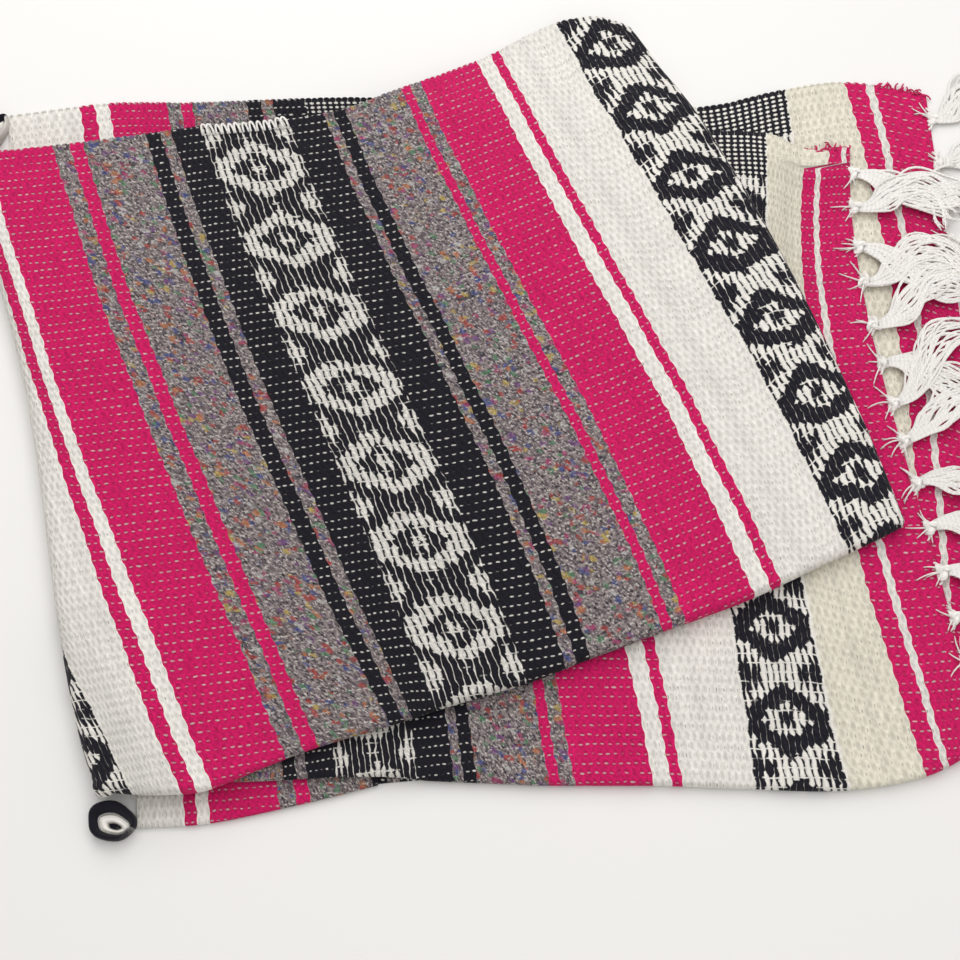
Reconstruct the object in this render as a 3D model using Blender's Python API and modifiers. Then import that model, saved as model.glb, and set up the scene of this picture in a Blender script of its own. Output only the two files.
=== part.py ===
"""A thick hand-loomed blanket, folded in four and laid askew on a flat surface.

Metres, +Z up. The blanket's length runs along X and its width along Y. The origin
lies under the middle of the whole part, on the surface that it rests on.

A place in the cloth has two numbers. "cut" is the distance along the blanket from
its middle, in metres. "across" runs from 0 at the selvedge to 1 at the folded edge.
"""

import math
from collections import namedtuple

import bmesh
import bpy
from mathutils import Vector

# The middle of the whole part, seen from above, in the tables below
PART_MIDDLE = (0.0144, 0.0023)

# The cloth
PLY = 0.0030                # thickness of one woven ply
CLEAR = 0.0004              # gap between pieces that lie on each other
BILLOW_CLEAR = 0.0020       # more, over the soft mounds
FLOOR_CLEAR = 0.0006        # lowest point of the rolls and strands above the surface

# Heights of the upper faces, from the surface
UNDER_TOP = 0.0030
TUCK_TOP = 0.0063
MIDDLE_TOP = 0.0067
MIDDLE_ON_TUCK = 0.0099     # where the middle ply lies on the tucked edge
LEAF_TOP = 0.0225           # upper face of the top leaf over the lower half
LEAF_TOP_CORNER = 0.0145    # where its far corner lies past the lower half

# Rolled edges
ROLL_STEPS = 5
ROLL_REACH = 0.008          # how far past its brink a roll looks for what it lies on
LEAF_CURL = math.radians(150)
MIDDLE_CURL = math.radians(140)
TUCK_CURL = math.radians(120)

# Far edges of the lower half, as lines from left to right
UNDER_FAR_Y = 0.333
MIDDLE_FAR_Y = 0.288
MIDDLE_WIDTH = 0.654        # from that line to the folded edge

# Where the middle ply climbs onto the tucked edge: left of the middle, and below it
CLIMB_LEFT = (0.045, 0.088)
CLIMB_BELOW = (0.230, 0.298)

# The lower half's left edge under the top leaf, as a leaning line
LOWER_LEFT = (-0.437, 0.073)
LOWER_LEFT_LEAN = 0.235

# Soft steps, as distances past the edges named above
LEFT_STEP = (-0.002, 0.012)
MIDDLE_STEP = 0.030
UNDER_STEP = (0.022, 0.050)
CORNER_FALL = (0.002, 0.045)    # the top leaf's far corner, falling past the lower half
CORNER_FALL_X = (-0.20, -0.02)

Rail = namedtuple("Rail", "cut top upper lower foot")

# Lines across the blanket on the top leaf, each through four points from the
# selvedge to the folded edge
LEAF_RAILS = (
    Rail(0.000, (-0.613, 0.232), (-0.538, 0.026), (-0.456, -0.175), (-0.357, -0.366)),
    Rail(0.042, (-0.572, 0.238), (-0.498, 0.031), (-0.418, -0.171), (-0.316, -0.374)),
    Rail(0.106, (-0.513, 0.250), (-0.434, 0.041), (-0.354, -0.167), (-0.261, -0.376)),
    Rail(0.132, (-0.488, 0.251), (-0.414, 0.041), (-0.327, -0.165), (-0.235, -0.372)),
    Rail(0.224, (-0.398, 0.264), (-0.323, 0.061), (-0.236, -0.138), (-0.146, -0.336)),
    Rail(0.289, (-0.333, 0.274), (-0.261, 0.072), (-0.176, -0.125), (-0.081, -0.315)),
    Rail(0.349, (-0.282, 0.282), (-0.206, 0.087), (-0.122, -0.108), (-0.045, -0.301)),
    Rail(0.435, (-0.196, 0.291), (-0.121, 0.102), (-0.038, -0.087), (0.036, -0.276)),
    Rail(0.495, (-0.140, 0.303), (-0.062, 0.119), (0.022, -0.065), (0.092, -0.254)),
    Rail(0.560, (-0.086, 0.327), (-0.005, 0.141), (0.080, -0.043), (0.156, -0.230)),
    Rail(0.652, (-0.008, 0.363), (0.075, 0.176), (0.163, -0.009), (0.240, -0.198)),
    Rail(0.742, (0.070, 0.407), (0.158, 0.219), (0.247, 0.033), (0.325, -0.158)),
    Rail(0.784, (0.113, 0.415), (0.202, 0.225), (0.288, 0.045), (0.363, -0.139)),
    Rail(0.826, (0.155, 0.401), (0.247, 0.231), (0.329, 0.056), (0.400, -0.119)),
)

# The cut at which the top leaf starts to roll under, from selvedge to folded edge
LEAF_LEFT_BRINK = (0.110, 0.113, 0.083, 0.036)
LEAF_RIGHT_BRINK = (0.814, 0.818, 0.810, 0.797)
LEAF_FOOT_BRINK = 0.987     # across
LEAF_COLUMNS = 20
LEAF_ROWS = 15

MIDDLE_RAILS = (
    Rail(0.132, (-0.410, 0.232), (-0.380, 0.050), (-0.345, -0.153), (-0.290, -0.366)),
    Rail(0.224, (-0.332, 0.244), (-0.302, 0.060), (-0.268, -0.146), (-0.220, -0.366)),
    Rail(0.392, (-0.184, 0.268), (-0.156, 0.072), (-0.126, -0.140), (-0.096, -0.361)),
    Rail(0.560, (-0.016, 0.286), (0.004, 0.072), (0.024, -0.146), (0.053, -0.366)),
    Rail(0.652, (0.093, 0.289), (0.096, 0.069), (0.113, -0.150), (0.146, -0.366)),
    Rail(0.742, (0.192, 0.286), (0.200, 0.069), (0.214, -0.151), (0.232, -0.369)),
    Rail(0.826, (0.278, 0.284), (0.272, 0.066), (0.283, -0.153), (0.314, -0.370)),
    Rail(0.882, (0.316, 0.266), (0.308, 0.057), (0.337, -0.150), (0.382, -0.358)),
    Rail(0.941, (0.360, 0.268), (0.366, 0.068), (0.401, -0.130), (0.430, -0.334)),
)
MIDDLE_FOOT_BRINK = 0.990
MIDDLE_COLUMNS = 24
MIDDLE_ROWS = 16

UNDER_RAILS = (
    Rail(0.050, (-0.478, 0.306), (-0.436, 0.073), (-0.374, -0.165), (-0.308, -0.374)),
    Rail(0.132, (-0.380, 0.320), (-0.332, 0.082), (-0.285, -0.158), (-0.238, -0.387)),
    Rail(0.224, (-0.297, 0.321), (-0.249, 0.088), (-0.201, -0.146), (-0.153, -0.368)),
    Rail(0.392, (-0.142, 0.327), (-0.099, 0.095), (-0.057, -0.138), (-0.012, -0.355)),
    Rail(0.560, (0.029, 0.324), (0.064, 0.094), (0.098, -0.137), (0.133, -0.355)),
    Rail(0.742, (0.213, 0.316), (0.238, 0.090), (0.264, -0.138), (0.285, -0.355)),
    Rail(0.826, (0.300, 0.336), (0.318, 0.104), (0.336, -0.129), (0.351, -0.351)),
    Rail(0.882, (0.362, 0.345), (0.391, 0.117), (0.398, -0.115), (0.392, -0.338)),
    Rail(0.941, (0.442, 0.332), (0.452, 0.111), (0.458, -0.106), (0.447, -0.316)),
)
UNDER_COLUMNS = 18
UNDER_ROWS = 10

TUCK_RAILS = (
    Rail(0.056, (-0.309, -0.316), (-0.306, -0.345), (-0.303, -0.373), (-0.300, -0.402)),
    Rail(0.132, (-0.250, -0.312), (-0.246, -0.341), (-0.242, -0.369), (-0.238, -0.398)),
    Rail(0.224, (-0.168, -0.306), (-0.163, -0.330), (-0.158, -0.355), (-0.153, -0.379)),
    Rail(0.290, (-0.108, -0.306), (-0.103, -0.325), (-0.099, -0.344), (-0.095, -0.364)),
)
TUCK_FOOT_BRINK = 0.950
TUCK_COLUMNS = 8
TUCK_ROWS = 3

# Soft ridges (rise above 0) and troughs (below) of the top leaf
Crease = namedtuple("Crease", "start end reach rise")
LEAF_CREASES = (
    Crease((-0.40, 0.16), (-0.26, -0.30), 0.030, 0.0022),
    Crease((-0.24, 0.24), (-0.12, 0.02), 0.026, -0.0014),
    Crease((-0.13, -0.02), (0.00, -0.22), 0.030, 0.0016),
    Crease((-0.02, 0.28), (0.12, 0.08), 0.034, 0.0018),
    Crease((0.10, 0.02), (0.20, -0.14), 0.024, -0.0014),
    Crease((0.20, 0.20), (0.33, -0.06), 0.022, 0.0015),
    Crease((-0.33, -0.31), (-0.20, -0.30), 0.022, 0.0012),
)
# Billows of the middle ply where it shows, each a soft mound
Billow = namedtuple("Billow", "x y reach_x reach_y rise")
MIDDLE_BILLOWS = (
    Billow(0.335, 0.245, 0.030, 0.026, 0.0040),
    Billow(0.345, 0.080, 0.020, 0.050, 0.0022),
    Billow(0.300, -0.235, 0.034, 0.060, 0.0026),
    Billow(0.395, -0.275, 0.024, 0.040, 0.0024),
    Billow(0.170, -0.300, 0.045, 0.030, 0.0018),
)
FOOT_RISE = 0.0036          # how much the middle ply puffs up at its folded edge
FOOT_RISE_FROM = 0.93       # across

# The left-hand fold: its height above the rest of the top leaf, and its reach
SPINE_RISE = 0.0085
SPINE_RISE_FAR = 0.0034     # the same, for the stretch near the selvedge
SPINE_REACH = 0.075

# Hidden plies: grooves between them at the edges
LAYER_COUNT = 3
GROOVE = 0.0022
INNER_INSET = 0.0030
FAR_INSET = 0.010
LEAF_LENGTH = 0.70          # the top leaf between its rolls, along the blanket
LEAF_WIDTH = 0.64           # and across it
LAYERS_CLEAR = 0.006        # the hidden plies end this far past the lower half
CORNER_CLEAR = 0.018        # and the far corner's start this far past it
CORNER_CUT = 0.640
CORNER_LENGTH = 0.15
CORNER_WIDTH = 0.06
ACROSS_STEP = 0.002

# The two ends of the left-hand fold, each a flattened curl with a hollow on top
Curl = namedtuple("Curl", "x y turn length width height hollow")
SPINE_FOOT = Curl(-0.3209, -0.3940, math.radians(-14), 0.0400, 0.0330, 0.0160, 0.0050)
SPINE_HEAD = Curl(-0.4936, 0.2775, math.radians(59), 0.0600, 0.0220, 0.0150, 0.0020)
CURL_FLAT = 0.70            # where the curl's underside is cut flat
CURL_RIM = (0.55, 0.95)     # the hollow's rim and its floor, as shares of the height

# Fringes: knotted tassels on a narrow backing strip along each end
Fringe = namedtuple(
    "Fringe", "tassels locks sections length lock_width fan wave heights knot_width knot_base knot_top")
MIDDLE_FRINGE = Fringe(
    tassels=14, locks=6, sections=4, length=0.092, lock_width=0.0036, fan=0.13, wave=0.05,
    heights=(0.0084, 0.0105, 0.0098, 0.0086), knot_width=0.026, knot_base=0.0036, knot_top=0.0125)
UNDER_FRINGE = Fringe(
    tassels=14, locks=5, sections=3, length=0.084, lock_width=0.0038, fan=0.12, wave=0.40,
    heights=(0.0034, 0.0031, 0.0027, 0.0024), knot_width=0.023, knot_base=0.0008, knot_top=0.0066)
FRINGE_START = 0.012        # across
FRINGE_END = 0.972
STRIP_GAP = 0.0006          # from the cloth's cut edge to the backing strip
STRIP_DEPTH = 0.0040        # the strip between knots
STRIP_HEIGHT = 0.0024
KNOT_DEPTH = 0.0110
KNOT_SHOULDER = 0.008       # across
KNOT_SIDE_HEIGHT = 0.55     # a knot's height at its sides, against its middle
KNOT_SIDE_DEPTH = 0.75
LOCK_HEIGHT = 0.0028
LOCK_END = 0.62             # a lock's size at its tip, against its root
LOCK_UNEVEN = 0.025         # how much shorter each step of the locks' four lengths is
SWAY = 0.24                 # how far the tassels lean along the edge, in radians
SWAY_WAVES = 1.3
BEND = 0.30                 # how far they curve on the way
BEND_WAVES = 1.9
BEND_START = 0.3

PINK = (0.66, 0.012, 0.13)
WHITE = (0.80, 0.78, 0.74)
GREY = (0.20, 0.17, 0.18)
BLACK = (0.012, 0.012, 0.02)


# Small sums

def smooth(value, low, high):
    """0 below low, 1 above high, and a soft step between."""
    t = min(max((value - low) / (high - low), 0.0), 1.0)
    return t * t * (3.0 - 2.0 * t)


def four_way(values, t):
    """The cubic through four evenly spaced values, at t from 0 to 1."""
    s = 3.0 * t
    weights = (
        -(s - 1) * (s - 2) * (s - 3) / 6,
        s * (s - 2) * (s - 3) / 2,
        -s * (s - 1) * (s - 3) / 2,
        s * (s - 1) * (s - 2) / 6,
    )
    return sum(weight * value for weight, value in zip(weights, values))


def on_rail(rail, across):
    """The point of a rail at a share of the way from selvedge to folded edge."""
    points = (rail.top, rail.upper, rail.lower, rail.foot)
    return Vector((four_way([p[0] for p in points], across),
                   four_way([p[1] for p in points], across)))


def on_cloth(rails, cut, across):
    """Where a place in the cloth lies, seen from above."""
    last = len(rails) - 2
    span = 0
    while span < last and cut > rails[span + 1].cut:
        span += 1
    here, there = rails[span], rails[span + 1]
    before, after = rails[max(span - 1, 0)], rails[min(span + 2, last + 1)]
    p0, p1 = on_rail(here, across), on_rail(there, across)
    slope_here = (p1 - on_rail(before, across)) / (there.cut - before.cut)
    slope_there = (on_rail(after, across) - p0) / (after.cut - here.cut)
    width = there.cut - here.cut
    t = (cut - here.cut) / width
    return ((2 * t**3 - 3 * t**2 + 1) * p0 + (t**3 - 2 * t**2 + t) * width * slope_here
            + (3 * t**2 - 2 * t**3) * p1 + (t**3 - t**2) * width * slope_there)


def beside(point, start, end):
    """A point's distance from a stretch, and how far along the stretch it is."""
    start, end = Vector(start), Vector(end)
    line = end - start
    share = min(max((point - start).dot(line) / line.length_squared, 0.0), 1.0)
    return (point - start - share * line).length, share


# Heights of what lies on what

def middle_height(point, across=0.5):
    """The upper face of the middle ply over a point."""
    on_tuck = smooth(-point.x, *CLIMB_LEFT) * smooth(-point.y, *CLIMB_BELOW)
    height = MIDDLE_TOP + (MIDDLE_ON_TUCK - MIDDLE_TOP) * on_tuck
    for billow in MIDDLE_BILLOWS:
        aside = (point.x - billow.x) / billow.reach_x
        along = (point.y - billow.y) / billow.reach_y
        height += billow.rise * math.exp(-aside ** 2 - along ** 2)
    return height + FOOT_RISE * smooth(across, FOOT_RISE_FROM, MIDDLE_FOOT_BRINK)


def rest_height(point):
    """The height that a rolled edge of the top leaf comes down to at a point."""
    left_edge = LOWER_LEFT[0] - (point.y - LOWER_LEFT[1]) * LOWER_LEFT_LEAN
    on_lower = smooth(point.x - left_edge, *LEFT_STEP)
    across = (MIDDLE_FAR_Y - point.y) / MIDDLE_WIDTH
    height = middle_height(point, across)
    height += (UNDER_TOP + 2 * CLEAR - height) * smooth(point.y - MIDDLE_FAR_Y, 0.0, MIDDLE_STEP)
    height *= 1.0 - smooth(point.y - UNDER_FAR_Y, *UNDER_STEP)
    return FLOOR_CLEAR + height * on_lower


def leaf_height(point, cut):
    """The upper face of the top leaf over a point."""
    past = smooth(point.y, MIDDLE_FAR_Y + CORNER_FALL[0], UNDER_FAR_Y + CORNER_FALL[1])
    past *= smooth(point.x, *CORNER_FALL_X)
    height = LEAF_TOP + (LEAF_TOP_CORNER - LEAF_TOP) * past
    height += SPINE_RISE * math.exp(-((cut - LEAF_LEFT_BRINK[3]) / SPINE_REACH) ** 2)
    height += SPINE_RISE_FAR * math.exp(-((cut - LEAF_LEFT_BRINK[0]) / SPINE_REACH) ** 2)
    for crease in LEAF_CREASES:
        away, share = beside(point, crease.start, crease.end)
        fade = math.sin(math.pi * (0.15 + 0.70 * share))
        height += crease.rise * fade * math.exp(-(away / crease.reach) ** 2)
    return height


# Mesh helpers

def new_object(name, mesh, collection, material):
    """An object in the part's collection, with its material, set about the part's middle."""
    made = bpy.data.objects.new(name, mesh)
    made.location = (-PART_MIDDLE[0], -PART_MIDDLE[1], 0.0)
    collection.objects.link(made)
    mesh.materials.append(material)
    return made


def finish(made):
    """Outward faces, and smooth shading but for sharp edges."""
    bm = bmesh.new()
    bm.from_mesh(made.data)
    bmesh.ops.recalc_face_normals(bm, faces=bm.faces)
    bm.to_mesh(made.data)
    bm.free()
    made.data.shade_smooth()
    made.data.set_sharp_from_angle(angle=math.radians(50))


def mapped_grid(name, columns, rows, place):
    """A grid whose points are moved to place(column, row)."""
    bm = bmesh.new()
    bmesh.ops.create_grid(bm, x_segments=columns, y_segments=rows, size=1.0)
    for vert in bm.verts:
        column = round((vert.co.x + 1.0) / 2.0 * columns)
        row = round((1.0 - vert.co.y) / 2.0 * rows)
        vert.co = place(column, row)
    mesh = bpy.data.meshes.new(name)
    bm.to_mesh(mesh)
    bm.free()
    return mesh


def add_wall(made, thickness):
    """Gives an open surface its thickness, downwards."""
    wall = made.modifiers.new("Wall", "SOLIDIFY")
    wall.thickness = thickness
    wall.offset = -1.0
    wall.use_even_offset = False
    wall.use_quality_normals = True


def round_rim(made, width):
    """Softens the cut edges of a wall."""
    rim = made.modifiers.new("Rim", "BEVEL")
    rim.width = width
    rim.segments = 1
    rim.limit_method = "ANGLE"
    rim.angle_limit = math.radians(60)


def rolled_spot(rails, cut, across, turn_along, turn_across, top, bottom_at):
    """A point of a cloth whose edges roll under.

    turn_along and turn_across say how far the cloth has turned past each brink;
    bottom_at gives the height that the roll comes down to.
    """
    flat = on_cloth(rails, cut, across)
    turn = max(abs(turn_along), abs(turn_across))
    height = top(flat)
    if turn == 0.0:
        return Vector((flat.x, flat.y, height))
    before, after = on_cloth(rails, cut - ACROSS_STEP, across), on_cloth(rails, cut + ACROSS_STEP, across)
    along = (after - before).normalized()
    down = (flat - on_cloth(rails, cut, across - ACROSS_STEP)).normalized()
    outward = (turn_along * along + turn_across * down).normalized()
    half = (height - bottom_at(flat + ROLL_REACH * outward)) / 2.0
    reach = half * math.sin(turn)
    return Vector((flat.x + outward.x * reach, flat.y + outward.y * reach,
                   height - half * (1.0 - math.cos(turn))))


# The pieces

def make_top_leaf(collection, material):
    """The upper quarter of the blanket, rolled under on three sides."""
    columns = LEAF_COLUMNS + 2 * ROLL_STEPS
    rows = LEAF_ROWS + ROLL_STEPS

    def place(column, row):
        across = min(row / LEAF_ROWS, 1.0) * LEAF_FOOT_BRINK
        share = min(max((column - ROLL_STEPS) / LEAF_COLUMNS, 0.0), 1.0)
        left, right = four_way(LEAF_LEFT_BRINK, across), four_way(LEAF_RIGHT_BRINK, across)
        cut = left + share * (right - left)
        over_left = min(column - ROLL_STEPS, 0) / ROLL_STEPS
        over_right = max(column - ROLL_STEPS - LEAF_COLUMNS, 0) / ROLL_STEPS
        over_foot = max(row - LEAF_ROWS, 0) / ROLL_STEPS
        return rolled_spot(LEAF_RAILS, cut, across, LEAF_CURL * (over_left + over_right),
                           LEAF_CURL * over_foot, lambda flat: leaf_height(flat, cut), rest_height)

    leaf = new_object("top_leaf", mapped_grid("top_leaf", columns, rows, place), collection, material)
    finish(leaf)
    add_wall(leaf, PLY)
    return leaf


def make_middle_ply(collection, material):
    """The upper ply of the lower half, rolled down round the ply below it."""
    rows = MIDDLE_ROWS + ROLL_STEPS
    first, last = MIDDLE_RAILS[0].cut, MIDDLE_RAILS[-1].cut

    def down_to(point):
        return FLOOR_CLEAR + smooth(-point.x, *CLIMB_LEFT) * (TUCK_TOP + CLEAR)

    def place(column, row):
        across = min(row / MIDDLE_ROWS, 1.0) * MIDDLE_FOOT_BRINK
        cut = first + column / MIDDLE_COLUMNS * (last - first)
        over_foot = max(row - MIDDLE_ROWS, 0) / ROLL_STEPS
        return rolled_spot(MIDDLE_RAILS, cut, across, 0.0, MIDDLE_CURL * over_foot,
                           lambda flat: middle_height(flat, across), down_to)

    mesh = mapped_grid("middle_ply", MIDDLE_COLUMNS, rows, place)
    ply = new_object("middle_ply", mesh, collection, material)
    finish(ply)
    add_wall(ply, PLY * 0.9)
    return ply


def make_under_ply(collection, material):
    """The lowest ply, flat on the surface."""
    first, last = UNDER_RAILS[0].cut, UNDER_RAILS[-1].cut

    def place(column, row):
        flat = on_cloth(UNDER_RAILS, first + column / UNDER_COLUMNS * (last - first), row / UNDER_ROWS)
        return Vector((flat.x, flat.y, UNDER_TOP))

    mesh = mapped_grid("under_ply", UNDER_COLUMNS, UNDER_ROWS, place)
    ply = new_object("under_ply", mesh, collection, material)
    finish(ply)
    add_wall(ply, UNDER_TOP)
    round_rim(ply, PLY * 0.3)
    return ply


def make_tucked_edge(collection, material):
    """The strip of folded edge below the middle ply, at the lower left."""
    rows = TUCK_ROWS + ROLL_STEPS
    first, last = TUCK_RAILS[0].cut, TUCK_RAILS[-1].cut

    def place(column, row):
        across = min(row / TUCK_ROWS, 1.0) * TUCK_FOOT_BRINK
        cut = first + column / TUCK_COLUMNS * (last - first)
        over_foot = max(row - TUCK_ROWS, 0) / ROLL_STEPS
        return rolled_spot(TUCK_RAILS, cut, across, 0.0, TUCK_CURL * over_foot,
                           lambda flat: TUCK_TOP, lambda flat: FLOOR_CLEAR)

    mesh = mapped_grid("tucked_edge", TUCK_COLUMNS, rows, place)
    strip = new_object("tucked_edge", mesh, collection, material)
    finish(strip)
    add_wall(strip, PLY * 0.8)
    return strip


def layered_solid(name, columns, rows, place, collection, material):
    """A closed solid between a lower and an upper face, with grooved sides.

    place(column, row, level, inset) gives a point, level from 0 at the bottom to 1.
    """
    bm = bmesh.new()

    def face_grid(level):
        return [[bm.verts.new(place(column, row, level, 0.0)) for column in range(columns + 1)]
                for row in range(rows + 1)]

    bottom, top = face_grid(0.0), face_grid(1.0)
    border = ([(c, 0) for c in range(columns)] + [(columns, r) for r in range(rows)]
              + [(c, rows) for c in range(columns, 0, -1)] + [(0, r) for r in range(rows, 0, -1)])
    rings = [[bottom[r][c] for c, r in border]]
    for layer in range(1, LAYER_COUNT * 2):
        level = layer / (LAYER_COUNT * 2)
        groove = GROOVE if layer % 2 == 0 else 0.0
        rings.append([bm.verts.new(place(c, r, level, groove)) for c, r in border])
    rings.append([top[r][c] for c, r in border])
    for r in range(rows):
        for c in range(columns):
            bm.faces.new((top[r][c], top[r + 1][c], top[r + 1][c + 1], top[r][c + 1]))
            bm.faces.new((bottom[r][c], bottom[r][c + 1], bottom[r + 1][c + 1], bottom[r + 1][c]))
    for low, high in zip(rings, rings[1:]):
        for i in range(len(border)):
            j = (i + 1) % len(border)
            bm.faces.new((low[i], high[i], high[j], low[j]))
    mesh = bpy.data.meshes.new(name)
    bm.to_mesh(mesh)
    bm.free()
    made = new_object(name, mesh, collection, material)
    finish(made)
    return made


def inset_share(index, count, length, inset):
    """An index's share of the way, with the two end lines drawn in by inset."""
    if index == 0:
        return inset / length
    if index == count:
        return 1.0 - inset / length
    return index / count


def past_line(cut, line_y):
    """The share across at which the top leaf comes down to a line along X."""
    across = FAR_INSET / LEAF_WIDTH
    while on_cloth(LEAF_RAILS, cut, across).y > line_y:
        across += ACROSS_STEP
    return across


def make_inner_layers(collection, material):
    """The hidden plies of the top leaf, where it lies on the lower half."""

    def place(column, row, level, inset):
        share = inset_share(column, LEAF_COLUMNS, LEAF_LENGTH, INNER_INSET + inset)
        rough = LEAF_LEFT_BRINK[0] + share * (LEAF_RIGHT_BRINK[0] - LEAF_LEFT_BRINK[0])
        start = past_line(rough, UNDER_FAR_Y + LAYERS_CLEAR)
        end = LEAF_FOOT_BRINK - INNER_INSET / LEAF_WIDTH
        across = start + inset_share(row, LEAF_ROWS, LEAF_WIDTH, inset) * (end - start)
        left, right = four_way(LEAF_LEFT_BRINK, across), four_way(LEAF_RIGHT_BRINK, across)
        cut = left + share * (right - left)
        flat = on_cloth(LEAF_RAILS, cut, across)
        upper = leaf_height(flat, cut) - PLY - 3.0 * CLEAR
        billow = middle_height(flat, (MIDDLE_FAR_Y - flat.y) / MIDDLE_WIDTH) - MIDDLE_TOP
        lower = MIDDLE_TOP + CLEAR + billow + BILLOW_CLEAR * smooth(billow, 0.0, BILLOW_CLEAR / 3)
        return Vector((flat.x, flat.y, lower + level * (upper - lower)))

    return layered_solid("inner_layers", LEAF_COLUMNS, LEAF_ROWS, place, collection, material)


def make_inner_corner(collection, material):
    """The hidden plies of the top leaf's far corner, which lies past the lower half."""
    columns, rows = 8, 4
    start = FAR_INSET / LEAF_WIDTH
    right = LEAF_RIGHT_BRINK[0] - INNER_INSET

    def place(column, row, level, inset):
        share = inset_share(column, columns, CORNER_LENGTH, inset)
        cut = CORNER_CUT + share * (right - CORNER_CUT)
        end = past_line(cut, UNDER_FAR_Y + CORNER_CLEAR)
        across = start + inset_share(row, rows, CORNER_WIDTH, inset) * (end - start)
        flat = on_cloth(LEAF_RAILS, cut, across)
        upper = leaf_height(flat, cut) - PLY - CLEAR
        return Vector((flat.x, flat.y, level * upper))

    return layered_solid("inner_corner", columns, rows, place, collection, material)


def make_spine_end(name, curl, collection, material):
    """An end of the left-hand fold: a flattened curl, flat below and hollowed on top."""
    bm = bmesh.new()
    bmesh.ops.create_uvsphere(bm, u_segments=16, v_segments=10, radius=1.0)
    for vert in bm.verts:
        x, y, z = vert.co
        along, aside = x * curl.length / 2.0, y * curl.width / 2.0
        height = curl.height * (max(z, -CURL_FLAT) + CURL_FLAT) / (1.0 + CURL_FLAT)
        height -= curl.hollow * smooth(z, *CURL_RIM)
        vert.co = (curl.x + along * math.cos(curl.turn) - aside * math.sin(curl.turn),
                   curl.y + along * math.sin(curl.turn) + aside * math.cos(curl.turn), height)
    bmesh.ops.dissolve_limit(bm, angle_limit=math.radians(0.5), verts=bm.verts,
                             edges=[e for e in bm.edges if max(v.co.z for v in e.verts) < 1e-6])
    mesh = bpy.data.meshes.new(name)
    bm.to_mesh(mesh)
    bm.free()
    made = new_object(name, mesh, collection, material)
    finish(made)
    return made


def tassel_stations(fringe, tassel):
    """The shares across at which one tassel's knot starts, parts into locks and ends."""
    middle = FRINGE_START + (tassel + 0.5) / fringe.tassels * (FRINGE_END - FRINGE_START)
    half = fringe.knot_width / 2.0
    return [middle - half + 2.0 * half * lock / fringe.locks for lock in range(fringe.locks + 1)]


def make_fringe(name, rails, fringe, collection, material):
    """Knotted tassels along an end of the cloth, their locks growing from one backing strip."""
    end_cut = rails[-1].cut

    def edge_frame(across):
        """The cloth's cut edge: its point, the way out of the cloth and the way along."""
        point = on_cloth(rails, end_cut, across)
        before = on_cloth(rails, end_cut, across - ACROSS_STEP)
        along = (on_cloth(rails, end_cut, across + ACROSS_STEP) - before).normalized()
        return point, Vector((-along.y, along.x)), along

    bm = bmesh.new()

    def section(across, depth, top):
        """One section of the backing strip, back to front."""
        point, outward, _ = edge_frame(across)
        back, front = point + STRIP_GAP * outward, point + (STRIP_GAP + depth) * outward
        return [bm.verts.new((p.x, p.y, z)) for p, z in
                ((back, fringe.knot_base), (back, top), (front, top), (front, fringe.knot_base))]

    sections, roots = [], []
    for tassel in range(fringe.tassels):
        stations = tassel_stations(fringe, tassel)
        thin_top = fringe.knot_base + STRIP_HEIGHT
        sections.append(section(stations[0] - KNOT_SHOULDER, STRIP_DEPTH, thin_top))
        for number, across in enumerate(stations):
            bulge = math.sin(math.pi * (0.5 + number) / len(stations))
            height = KNOT_SIDE_HEIGHT + (1.0 - KNOT_SIDE_HEIGHT) * bulge
            depth = KNOT_DEPTH * (KNOT_SIDE_DEPTH + (1.0 - KNOT_SIDE_DEPTH) * bulge)
            top = fringe.knot_base + (fringe.knot_top - fringe.knot_base) * height
            sections.append(section(across, depth, top))
            if number < fringe.locks:
                roots.append((len(sections) - 1, tassel, number, (across + stations[number + 1]) / 2.0))
        sections.append(section(stations[-1] + KNOT_SHOULDER, STRIP_DEPTH, thin_top))
    fronts = {}
    for number, (here, there) in enumerate(zip(sections, sections[1:])):
        for side in range(4):
            after = (side + 1) % 4
            face = bm.faces.new((here[side], here[after], there[after], there[side]))
            if side == 2:
                fronts[number] = face
    bm.faces.new(sections[0][::-1])
    bm.faces.new(sections[-1])
    bm.normal_update()
    for number, tassel, lock, across in roots:
        grow_lock(bm, fronts[number], fringe, tassel, lock, edge_frame(across))
    mesh = bpy.data.meshes.new(name)
    bm.to_mesh(mesh)
    bm.free()
    made = new_object(name, mesh, collection, material)
    finish(made)
    return made


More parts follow.
